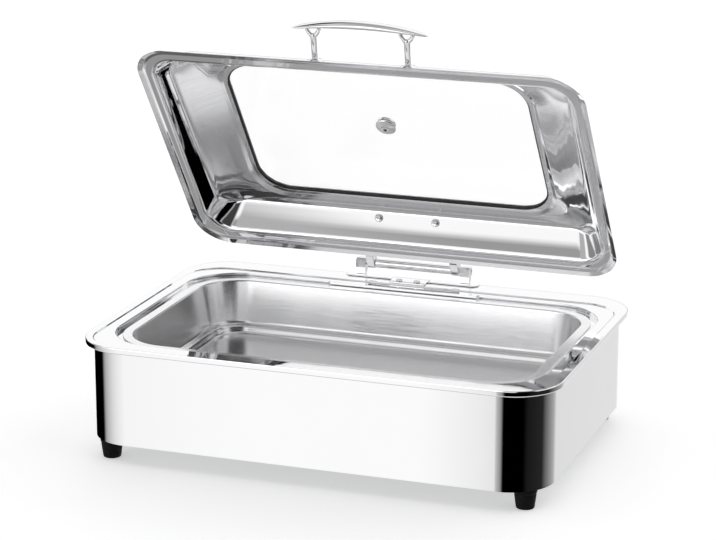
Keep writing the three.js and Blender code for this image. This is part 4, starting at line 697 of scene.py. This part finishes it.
def make_lid_shell():
    """Lid shell: hemmed edge, flat band, steep wall, sloping panel, window bead and lip, skinned both sides.

    Rows are rounded rectangles; the crease on top of the wall stands higher at front and rear than at
    the sides, because its lift follows sin squared round each corner. Inside, wall and panel bow
    outwards by the bow between their creases.
    """
    lid = bpy.context.scene.dish_lid
    crease, bend, bow = lid.crease / MM, lid.band_bend / MM, lid.bow / MM
    t = SHEET
    foot, top, panel = lid_row(WALL_FOOT, 33), lid_row(WALL_TOP, 30), lid_row(PANEL_TOP, 46)
    inner = [
        lid_row(HEM_ROW, 45), lid_row(EDGE_ROW, 39.5), lid_row(BAND_ROW, 38), foot, *bowed(foot, top, bow), top,
        *bowed(top, panel, bow), panel, lid_row(BEAD_ROW, 43.5), lid_row(LIP_ROW, 41),
    ]
    outer = [
        lid_row(LIP_ROW, 41, 0, t), lid_row(BEAD_ROW, 43.5, 0, t), lid_row(PANEL_TOP, 46, -0.3, 0.95),
        lid_row(WALL_TOP, 30, -0.59, t), lid_row(WALL_FOOT, 33, -0.89, 0.96), lid_row(BAND_ROW, 38, 0, t),
        lid_row(EDGE_ROW, 39.5, 0, t), lid_row(HEM_ROW, 45, 0, t),
    ]
    flat = [4.0] * 3
    reach_in = [0.2, 1.2, 1.2, bend, *flat, crease, *flat, 1.2, 1.6, 0.3]
    reach_out = [0.3, 1.6, 1.2, crease, bend, 1.2, 1.2, 0.2]
    grid = rings(soften(inner + outer, reach_in + reach_out, loop=True))
    # Rings run anticlockwise from above, and the lid's coordinates are mirrored
    grid[..., 0] *= -1
    skin("lid_shell_pressing", [placed((grid, True, True), lid_matrix())], ["lid_shell"])


def window_loop(profile, reach):
    """A closed profile of (growth from the lip, rise) carried round the window of the open lid."""
    lip = outline(194.0, 116.6, LID_HALF_DEPTH, 41)
    grid = rings([lip(*row) for row in soften(profile, reach, loop=True)])
    grid[..., 0] *= -1
    return placed((grid, True, True), lid_matrix())


def make_window():
    """Trim, gasket and glass: closed profiles carried round the window, and the pane with the vent's hole."""
    trim = [(-1.3, 52.9), (5.0, 52.9), (5.0, 46.3), (7.4, 46.3), (7.4, 52.9), (5.0, 54.1), (-1.3, 54.1)]
    skin("window_trim_channel", [window_loop(trim, [0.3, 0.3, 0.2, 0.4, 1.0, 1.0, 0.4])], ["window_trim"])
    seal = [(-2.2, 46.3), (-2.2, 48.3), (2.3, 48.3), (2.3, 52.6), (4.7, 52.6), (4.7, 46.3)]
    skin("window_gasket_seal", [window_loop(seal, [0.8, 0.8, 0.3, 0.4, 0.4, 0.4])], ["window_gasket"])
    dress("window_glass", bevel=0.4)


VENT_PLACE = (0, 199.1, 48.3)
VENT_HOLE = (-0.5, -3.2)


def make_vent():
    """Vent button: a domed disc under the glass with its off-centre hole, and the nut above it."""
    place = lid_matrix() @ Matrix.Translation(VENT_PLACE)
    body = [
        (0, -3.4), (5, -3.2), (11.2, -2.4), (13, -1), (13, 0), (7.5, 0), (7.5, 10.6), (3.4, 11.3), (0, 11.3),
    ]
    grid, *loops = turned(body, 56, [0, 1.5, 1.5, 0.6, 0.3, 0.3, 0.5, 0.3, 0], False)
    # The disc's face dips by up to half a millimetre round the hole: 0.5 exp(-(d / 4)^2)
    away = np.hypot(grid[..., 0] - VENT_HOLE[0], grid[..., 1] - VENT_HOLE[1])
    grid[..., 2] += np.where(grid[..., 2] < -0.8, 0.5 * np.exp(-(away / 4.0) ** 2), 0)
    skin("vent_button_body", [placed((grid, *loops), place)], ["vent_body"])
    dress("vent_nut", bevel=0.3)
    hole = turned([(0, -3.62), (1.7, -3.6), (2.0, -3.2), (1.2, -2.6), (0, -2.6)], 24, 0.15, False)
    skin("vent_button_bore", [placed(hole, place @ Matrix.Translation((*VENT_HOLE, 0.3)))],
         [], body="lid", slot="black_plastic")


def screw_head(radius, rise, crown):
    """A pan head with a cross recess, on a polar grid: crown (1 - q^2) minus a pit along |x| or |y|."""
    q = np.concatenate([np.linspace(0, 0.96, 26), [0.99, 1.0]])[:, None]
    a = full_turn(64)
    x, y = radius * q * np.cos(a), radius * q * np.sin(a)
    top = rise + crown * (1 - q ** 2) - np.where(q > 0.985, crown * 0.15, 0)
    arm = np.minimum(np.abs(x), np.abs(y))
    far = np.maximum(np.abs(x), np.abs(y))
    slot = 1 / (1 + np.exp((arm - 0.13 * radius) / (0.03 * radius)))
    reach = 1 / (1 + np.exp((far - 0.52 * radius) / (0.04 * radius)))
    top = top - 0.9 * slot * reach * (1 - 0.5 * far / radius)
    head = np.stack([x, y, top + 0 * x], -1)
    rim = head[-1:] * [1, 1, 0]
    return np.concatenate([head, rim, 0 * rim]), False, True


WASHER_THICKNESS = 0.9
WASHER = ((0, 0), (5.2, 0), (5.2, WASHER_THICKNESS), (0, WASHER_THICKNESS))
HINGE_CLIP_TOP = 151.7


def make_screw(name, place, length, tip, washer=False):
    """A screw: a recessed head, a washer under it where it has one, and a shank that ends in a low cone."""
    grids = [placed(turned(WASHER, 40, 0.25, False), place)] if washer else []
    head, *loops = screw_head(4.2, 1.5, 0.7)
    head = head + [0, 0, WASHER_THICKNESS if washer else 0.0]
    shank = turned([(0, 0.2), (2.0, 0.2), (2.0, -length), (0, -length - tip)], 24, 0.2, False)
    grids += [placed((head, *loops), place), placed(shank, place)]
    skin(name + "_head", grids, [name])


def make_screws():
    """Screws: two of the bracket and two of the handle on the lid's walls, two of the clip, and the feet's."""
    for side, way in (("left", -1), ("right", 1)):
        for name, rear, x, up, length in (("bracket_screw_", True, BRACKET_SCREW_X, BRACKET_SCREW_UP, 7.0),
                                          ("handle_screw_", False, HANDLE_X, HANDLE_UP, 12.0)):
            point, inwards = wall_place(rear, up)
            point = lid_matrix() @ (point + 0.3 * inwards + Vector((way * x, 0, 0)))
            inwards = (lid_matrix().to_3x3() @ inwards).normalized()
            place = Matrix.Translation(point) @ inwards.to_track_quat("Z", "Y").to_matrix().to_4x4()
            make_screw(name + side, place, length, 0.6, washer=rear)
    for name in ("clip_screw_left", "clip_screw_right"):
        x, y, _ = np.mean(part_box(name), axis=0) / MM
        make_screw(name, Matrix.Translation((x, y, HINGE_CLIP_TOP)), 9.0, 0.0)
    for where, _, _ in FEET:
        dress("foot_screw_" + where, bevel=0.2)


def handle_place():
    """The middle of the handle on the front wall's outer skin, with +Z out of the wall, in the open lid."""
    c, s = math.cos(WALL_SLOPE), math.sin(WALL_SLOPE)
    point, inwards = wall_place(False, HANDLE_UP)
    basis = Matrix(((1, 0, 0), (0, -c, s), (0, s, c))).to_4x4()
    return lid_matrix() @ Matrix.Translation(point - 1.3 * inwards) @ basis


POST_FOOT, POST_LENGTH, FORK_HEIGHT = 5.3, 30.8, 7.5
PRONG_LEAN = 8
BAR_TIP_THICKNESS, BAR_CROWN = 2.6, 7.4


def make_handle():
    """Handle: an oval blade whose middle line arches, on forked posts with dished feet.

    Blade: its width shrinks from the middle by sqrt(1 - 0.9 |s|^3), its thickness by 1 - s^2, and both
    close over the tips. The fork's prongs leave the stem along quarter sines so that the Y reads as
    one casting.
    """
    lid = bpy.context.scene.dish_lid
    place = handle_place()
    length, rise = lid.handle_length / MM, lid.handle_rise / MM
    fork_low = POST_FOOT + POST_LENGTH
    fork_top = fork_low + FORK_HEIGHT

    def bottom(x):
        """Height of the blade's underside, which rests on the forks."""
        arch, at_post = (rise * (1 - (2 * at / length) ** 2) for at in (x, HANDLE_X))
        return fork_top + arch - at_post

    s = np.sin(np.linspace(-np.pi / 2, np.pi / 2, 97))[:, None]
    x = s * length / 2
    close = np.sqrt(np.maximum(1 - np.abs(s) ** 24, 0))
    width = (5 + 11 * np.sqrt(np.maximum(1 - np.abs(s) ** 3 * 0.9, 0))) * close
    thick = BAR_TIP_THICKNESS + BAR_CROWN * (1 - s ** 2)
    a = full_turn(40)
    height = bottom(x) + thick / 2 + thick * close / 2 * np.sin(a)
    grid = np.stack([x + 0 * a, width / 2 * np.cos(a), height], -1)
    skin("handle_bar_blade", [placed((grid, False, True), place)], ["handle_bar"])

    foot = [(0, 0), (10.5, 0), (10.5, 2.0), (5.9, 4.2), (4.8, 5.0), (0, 5.0)]
    stem = [(0, POST_FOOT), (3.7, POST_FOOT), (3.5, 18), (3.7, fork_low), (0, fork_low + 2)]
    u = np.linspace(0, 1, 25)
    radius = (2.9 - 0.5 * u) * np.sqrt(np.maximum(1 - (2 * u - 1) ** 30, 0))
    for side, way in (("left", -1), ("right", 1)):
        at = place @ Matrix.Translation((way * HANDLE_X, 0, 0))
        skin("handle_foot_" + side + "_dish", [placed(turned(foot, 48, [0, 0.5, 0.9, 0.9, 0.6, 0], False), at)],
             ["handle_foot_" + side])
        grids = [placed(turned(stem, 32, [0, 0.4, 4, 1.5, 0], False), at)]
        for lean in (-PRONG_LEAN, PRONG_LEAN):
            # A prong starts 3 mm inside the stem and ends 0.45 mm under the blade's underside
            low, high = fork_low - 3, bottom(HANDLE_X * way + lean) - 0.45
            path = np.column_stack([lean * (0.35 * u + 0.65 * np.sin(u * np.pi / 2)), 0 * u,
                                    low + (high - low) * u ** 1.25])
            grids.append(placed(tube(path, radius, radius, (0, 1, 0)), at))
        skin("handle_post_" + side + "_fork", grids, ["handle_post_" + side])


# The rest of the nodes

HINGE_NODES = ("hinge_base", "hinge_clip", "hinge_ear_left", "hinge_ear_right", "lid_bracket", "hinge_arm_left",
               "hinge_arm_right", "hinge_barrel", "hinge_pin")
CONTROL_NODES = ("control_panel", "control_box", "terminal_block", "thermostat_body", "pilot_lamp",
                 "switch_body", "switch_rocker", "reset_button", "cutout_body", "power_inlet")
INNER_NODES = ("base_plate", "water_pan", "heating_element", "element_saddle_left", "element_saddle_right",
               "heat_shield", *("shield_spacer_" + where for where, _, _ in FEET), "thermostat_bulb")


def make_hinge():
    """Hinge plates, ears, arms and barrel: the CAD's solids merged, their edges broken by 0.7 mm."""
    for node in HINGE_NODES:
        dress(node, bevel=0.7, segments=3)


def make_controls():
    """Rear controls; the knob is a fluted grip, radius = r(h) * (1 + depth * cos 24a) on its flank."""
    for node in CONTROL_NODES:
        dress(node, bevel=0.35)
    low, high = np.array(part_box("thermostat_knob")) / MM
    middle = (low + high) / 2
    profile = [
        (0, 17), (17.2, 17), (18, 15.2), (18.6, 5), (20, 3.6), (20, 0.6), (3.4, 0.6), (3.4, 12), (0, 12),
    ]
    profile = soften(profile, [0, 1.2, 0.8, 0.8, 0.6, 0.5, 0.3, 0.3, 0])
    a = full_turn(192)
    flank = np.exp(-(((profile[:, 1] - 10) / 5.2) ** 6)) * (profile[:, 0] > 12)
    r = profile[:, :1] * (1 + 0.022 * flank[:, None] * np.cos(24 * a))
    grid = np.stack([r * np.cos(a), r * np.sin(a), profile[:, 1:] + 0 * a], -1)
    out = Matrix.Translation((middle[0], low[1], middle[2])) @ Matrix.Rotation(-math.pi / 2, 4, "X")
    u = np.linspace(0, 1, 13)
    swell = np.sin(np.pi * u) ** 0.3
    path = np.column_stack([0 * u, -5 - 11 * u, 17 + 0 * u])
    pointer = tube(path, swell + 1e-3, 0.5 * swell + 1e-3, (1, 0, 0))
    skin("thermostat_knob_grip", [placed((grid, False, True), out), placed(pointer, out)], ["thermostat_knob"])


def make_inside():
    """Base, water pan and heater: the CAD's solids merged, with broken edges on all but the heater's tube."""
    for node in INNER_NODES:
        if node == "heating_element":
            dress(node, bevel=0.0, sharp=50)
        else:
            dress(node, bevel=0.25)


# Studio

# Brightness of the studio just under the camera's height, by azimuth in degrees from +X: white in front,
# black cards beside the front right corner and at the left
LOW_STUDIO = (
    (-180, 0), (-176, 0.01), (-172, 0.2), (-165, 0.42), (-150, 0.62), (-139, 0.75), (-127, 0.85),
    (-117, 0.92), (-113, 1.02), (-107.4, 1.02), (-106.6, 0.8), (-105, 0.5), (-98, 0.3), (-92, 0), (-42, 0),
    (-30, 0.01), (12, 0.02), (25, 0.14), (40, 0.26), (60, 0.42), (70, 0.62), (76, 0.76), (92, 0.9),
    (118, 0.6), (124, 0),
)
# Height of that strip, and how far from it in degrees it starts and stops fading
LOW_HEIGHT, LOW_FADE = -18, (8, 12)
# Cards and dimmer sides elsewhere, each over the ones before: azimuth, height, half width and half height in
# degrees, brightness
STUDIO_CARDS = (
    (0, -90, 90, 52, 0.5), (0, 90, 90, 29, 0.36), (-70, 81, 10, 9, 1.1), (-116, 48, 14, 12, 0.34),
    (-60, 36, 28, 22, 0.05), (-45, 2, 22, 12, 0.0), (-114, 4, 17, 12, 1.7), (0, 22, 22, 20, 0.62),
    (-165, 12, 14, 14, 0.25), (-127, 32, 11, 16, 0.45), (152, 51, 15, 12, 0.06), (-150, 47, 9, 8, 0.08),
    (45, 9, 14, 7, 0.3), (150, -60, 13, 22, 0.12), (184, -56, 9, 18, 0.3), (-60, -62, 14, 10, 0.95),
    (112, -2, 40, 11, 0.04),
)
# A card covers fully up to the first share of its half size, and not at all from the second
CARD_FADE = (0.8, 1.15)
FLOOR_DROP = 0.0002
CAMERA_PLACE = (1.049318, -2.935152, 1.087221)
CAMERA_YAW, CAMERA_PITCH, CAMERA_ROLL = (math.radians(v) for v in (19.777, 15.668, -0.023))


def make_floor():
    """Pale floor just under the feet, unseen in the polished walls, which mirror the studio's cards instead."""
    half = bpy.context.scene.dish_studio.floor_size / 2
    x, y = np.meshgrid(*[np.linspace(-half, half, 9)] * 2)
    points = np.stack([x, y, 0 * x - FLOOR_DROP], -1)
    mesh = bpy.data.meshes.new("studio_floor")
    mesh.from_pydata(points.reshape(-1, 3).tolist(), [], faces_of(9, 9, False, False).tolist())
    floor = bpy.data.objects.new("studio_floor", mesh)
    bpy.context.scene.collection.objects.link(floor)
    # Matt paper lit evenly from above; its own light keeps it as pale as the surround
    material, tree, shader, where = finish(
        "pale_studio_floor", "#F8F8F8", 0.0, 0.9, Specular_IOR_Level=0.0, Emission_Color=(1, 1, 1, 1),
        Emission_Strength=0.43)
    tint(tree, shader, grain(tree, where, 400), "#F6F6F6", "#FAFAFA")
    mesh.materials.append(material)
    floor.visible_glossy = False


def make_light():
    """White surround with cards by direction: light = light + cover * (level - light) for each card in turn."""
    world = bpy.data.worlds.new("white_studio")
    bpy.context.scene.world = world
    world.use_nodes = True
    tree = world.node_tree
    way = add(tree, "ShaderNodeTexCoord").outputs["Generated"]
    parts = add(tree, "ShaderNodeSeparateXYZ", [(way, "Vector")])
    azimuth = maths(tree, "ARCTAN2", parts.outputs["Y"], parts.outputs["X"])
    height = maths(tree, "ARCSINE", parts.outputs["Z"])
    ramp = add(tree, "ShaderNodeValToRGB", [(spread(tree, azimuth, 0.0, 1.0, -math.pi, math.pi), "Fac")])
    stops = ramp.color_ramp.elements
    for stop, position in zip(stops, (0.0, 1.0)):
        stop.position, stop.color = position, (LOW_STUDIO[0][1],) * 3 + (1,)
    for degrees, level in LOW_STUDIO[1:]:
        stops.new((degrees + 180) / 360).color = (level,) * 3 + (1,)
    low = add(tree, "ShaderNodeRGBToBW", [(ramp.outputs["Color"], "Color")]).outputs[0]
    light = 1.0
    for *angles, level in STUDIO_CARDS:
        turn, card_height, width, tall = np.radians(angles).tolist()
        own = add(tree, "ShaderNodeVectorRotate", [(way, "Vector")], rotation_type="Z_AXIS", Angle=-turn)
        own = add(tree, "ShaderNodeSeparateXYZ", [(own.outputs[0], "Vector")])
        across = maths(tree, "ARCTAN2", own.outputs["Y"], own.outputs["X"])
        across = maths(tree, "MULTIPLY", across, math.cos(card_height) / width)
        above = maths(tree, "DIVIDE", maths(tree, "SUBTRACT", height, card_height), tall)
        edge = maths(tree, "MAXIMUM", maths(tree, "ABSOLUTE", across), maths(tree, "ABSOLUTE", above))
        light = blend_values(tree, spread(tree, edge, 1.0, 0.0, *CARD_FADE), light, level)
    strip = maths(tree, "ABSOLUTE", maths(tree, "SUBTRACT", height, math.radians(LOW_HEIGHT)))
    strip = spread(tree, strip, 1.0, 0.0, *(math.radians(v) for v in LOW_FADE))
    ground = tree.nodes["Background"]
    tree.links.new(blend_values(tree, strip, light, low), ground.inputs["Color"])
    ground.inputs["Strength"].default_value = bpy.context.scene.dish_studio.brightness


def make_camera():
    """The camera where the photographer's was, from the fit to the dish's edges."""
    eye = bpy.data.cameras.new("photo_camera")
    eye.lens = bpy.context.scene.dish_studio.lens
    eye.sensor_width = 36
    eye.clip_end = 100
    camera = bpy.data.objects.new("photo_camera", eye)
    bpy.context.scene.collection.objects.link(camera)
    flat = math.cos(CAMERA_PITCH)
    ahead = Vector((-math.sin(CAMERA_YAW) * flat, math.cos(CAMERA_YAW) * flat, -math.sin(CAMERA_PITCH)))
    right = ahead.cross(Vector((0, 0, 1))).normalized()
    up = right.cross(ahead)
    c, s = math.cos(CAMERA_ROLL), math.sin(CAMERA_ROLL)
    turn = Matrix((c * right + s * up, c * up - s * right, -ahead)).transposed().to_4x4()
    camera.matrix_world = Matrix.Translation(CAMERA_PLACE) @ turn
    bpy.context.scene.camera = camera


def make_studio():
    """Floor, light and camera, shown without a film curve so that white stays white."""
    bpy.context.scene.view_settings.view_transform = "Standard"
    make_floor()
    make_light()
    make_camera()


# Operators and panel


class Undoable:
    """What the dish's operators share: each is listed after its run and can be undone."""

    bl_options = {"REGISTER", "UNDO"}


class DISH_OT_studio(Undoable, bpy.types.Operator):
    """Make the floor, the light and the camera"""

    bl_idname = "dish.studio"
    bl_label = "Studio"

    def execute(self, context):
        make_studio()
        return {"FINISHED"}


class DISH_OT_housing(Undoable, bpy.types.Operator):
    """Make the polished housing band"""

    bl_idname = "dish.housing"
    bl_label = "Housing band"

    def execute(self, context):
        make_housing()
        return {"FINISHED"}


class DISH_OT_top_frame(Undoable, bpy.types.Operator):
    """Make the pressed top frame"""

    bl_idname = "dish.top_frame"
    bl_label = "Top frame"

    def execute(self, context):
        make_top_frame()
        return {"FINISHED"}


class DISH_OT_food_pan(Undoable, bpy.types.Operator):
    """Make the lift-out food pan"""

    bl_idname = "dish.food_pan"
    bl_label = "Food pan"

    def execute(self, context):
        make_food_pan()
        return {"FINISHED"}


class DISH_OT_feet(Undoable, bpy.types.Operator):
    """Make the four rubber feet"""

    bl_idname = "dish.feet"
    bl_label = "Feet"

    def execute(self, context):
        make_feet()
        return {"FINISHED"}


class DISH_OT_lid_shell(Undoable, bpy.types.Operator):
    """Make the lid's pressing"""

    bl_idname = "dish.lid_shell"
    bl_label = "Lid shell"

    def execute(self, context):
        make_lid_shell()
        return {"FINISHED"}


class DISH_OT_window(Undoable, bpy.types.Operator):
    """Make the window's trim, seal and glass"""

    bl_idname = "dish.window"
    bl_label = "Window"

    def execute(self, context):
        make_window()
        return {"FINISHED"}


class DISH_OT_vent(Undoable, bpy.types.Operator):
    """Make the vent button and its nut"""

    bl_idname = "dish.vent"
    bl_label = "Vent"

    def execute(self, context):
        make_vent()
        return {"FINISHED"}


class DISH_OT_screws(Undoable, bpy.types.Operator):
    """Make the screws with their recesses"""

    bl_idname = "dish.screws"
    bl_label = "Screws"

    def execute(self, context):
        make_screws()
        return {"FINISHED"}


class DISH_OT_handle(Undoable, bpy.types.Operator):
    """Make the arched handle on its posts"""

    bl_idname = "dish.handle"
    bl_label = "Handle"

    def execute(self, context):
        make_handle()
        return {"FINISHED"}


class DISH_OT_hinge(Undoable, bpy.types.Operator):
    """Dress the hinge's plates, ears, arms and barrel"""

    bl_idname = "dish.hinge"
    bl_label = "Hinge"

    def execute(self, context):
        make_hinge()
        return {"FINISHED"}


class DISH_OT_controls(Undoable, bpy.types.Operator):
    """Dress the rear panel's controls and make the knob"""

    bl_idname = "dish.controls"
    bl_label = "Controls"

    def execute(self, context):
        make_controls()
        return {"FINISHED"}


class DISH_OT_inside(Undoable, bpy.types.Operator):
    """Dress the base, water pan and heater"""

    bl_idname = "dish.inside"
    bl_label = "Inside"

    def execute(self, context):
        make_inside()
        return {"FINISHED"}


OPERATORS = (
    DISH_OT_studio, DISH_OT_housing, DISH_OT_top_frame, DISH_OT_food_pan, DISH_OT_feet, DISH_OT_lid_shell,
    DISH_OT_window, DISH_OT_vent, DISH_OT_screws, DISH_OT_handle, DISH_OT_hinge, DISH_OT_controls,
    DISH_OT_inside,
)


class DISH_PT_panel(bpy.types.Panel):
    """Lists the dish's pieces and sizes in the sidebar."""

    bl_label = "Chafing dish"
    bl_idname = "DISH_PT_panel"
    bl_space_type = "VIEW_3D"
    bl_region_type = "UI"
    bl_category = "Dish"

    def draw(self, context):
        for name, _ in GROUPS:
            group = getattr(context.scene, name)
            box = self.layout.box()
            for key in group.__annotations__:
                box.prop(group, key)
        for made in OPERATORS:
            self.layout.operator(made.bl_idname)


GROUPS = (("dish_housing", HousingSizes), ("dish_lid", LidSizes), ("dish_colours", FinishColours),
          ("dish_studio", StudioSettings))


def register():
    for key, group in GROUPS:
        bpy.utils.register_class(group)
        setattr(bpy.types.Scene, key, bpy.props.PointerProperty(type=group))
    for made in OPERATORS:
        bpy.utils.register_class(made)
    bpy.utils.register_class(DISH_PT_panel)


def unregister():
    bpy.utils.unregister_class(DISH_PT_panel)
    for made in reversed(OPERATORS):
        bpy.utils.unregister_class(made)
    for key, group in reversed(GROUPS):
        delattr(bpy.types.Scene, key)
        bpy.utils.unregister_class(group)


def main():
    register()
    make_finishes()
    for made in OPERATORS:
        getattr(bpy.ops.dish, made.bl_idname.split(".")[1])()


if __name__ == "__main__":
    main()
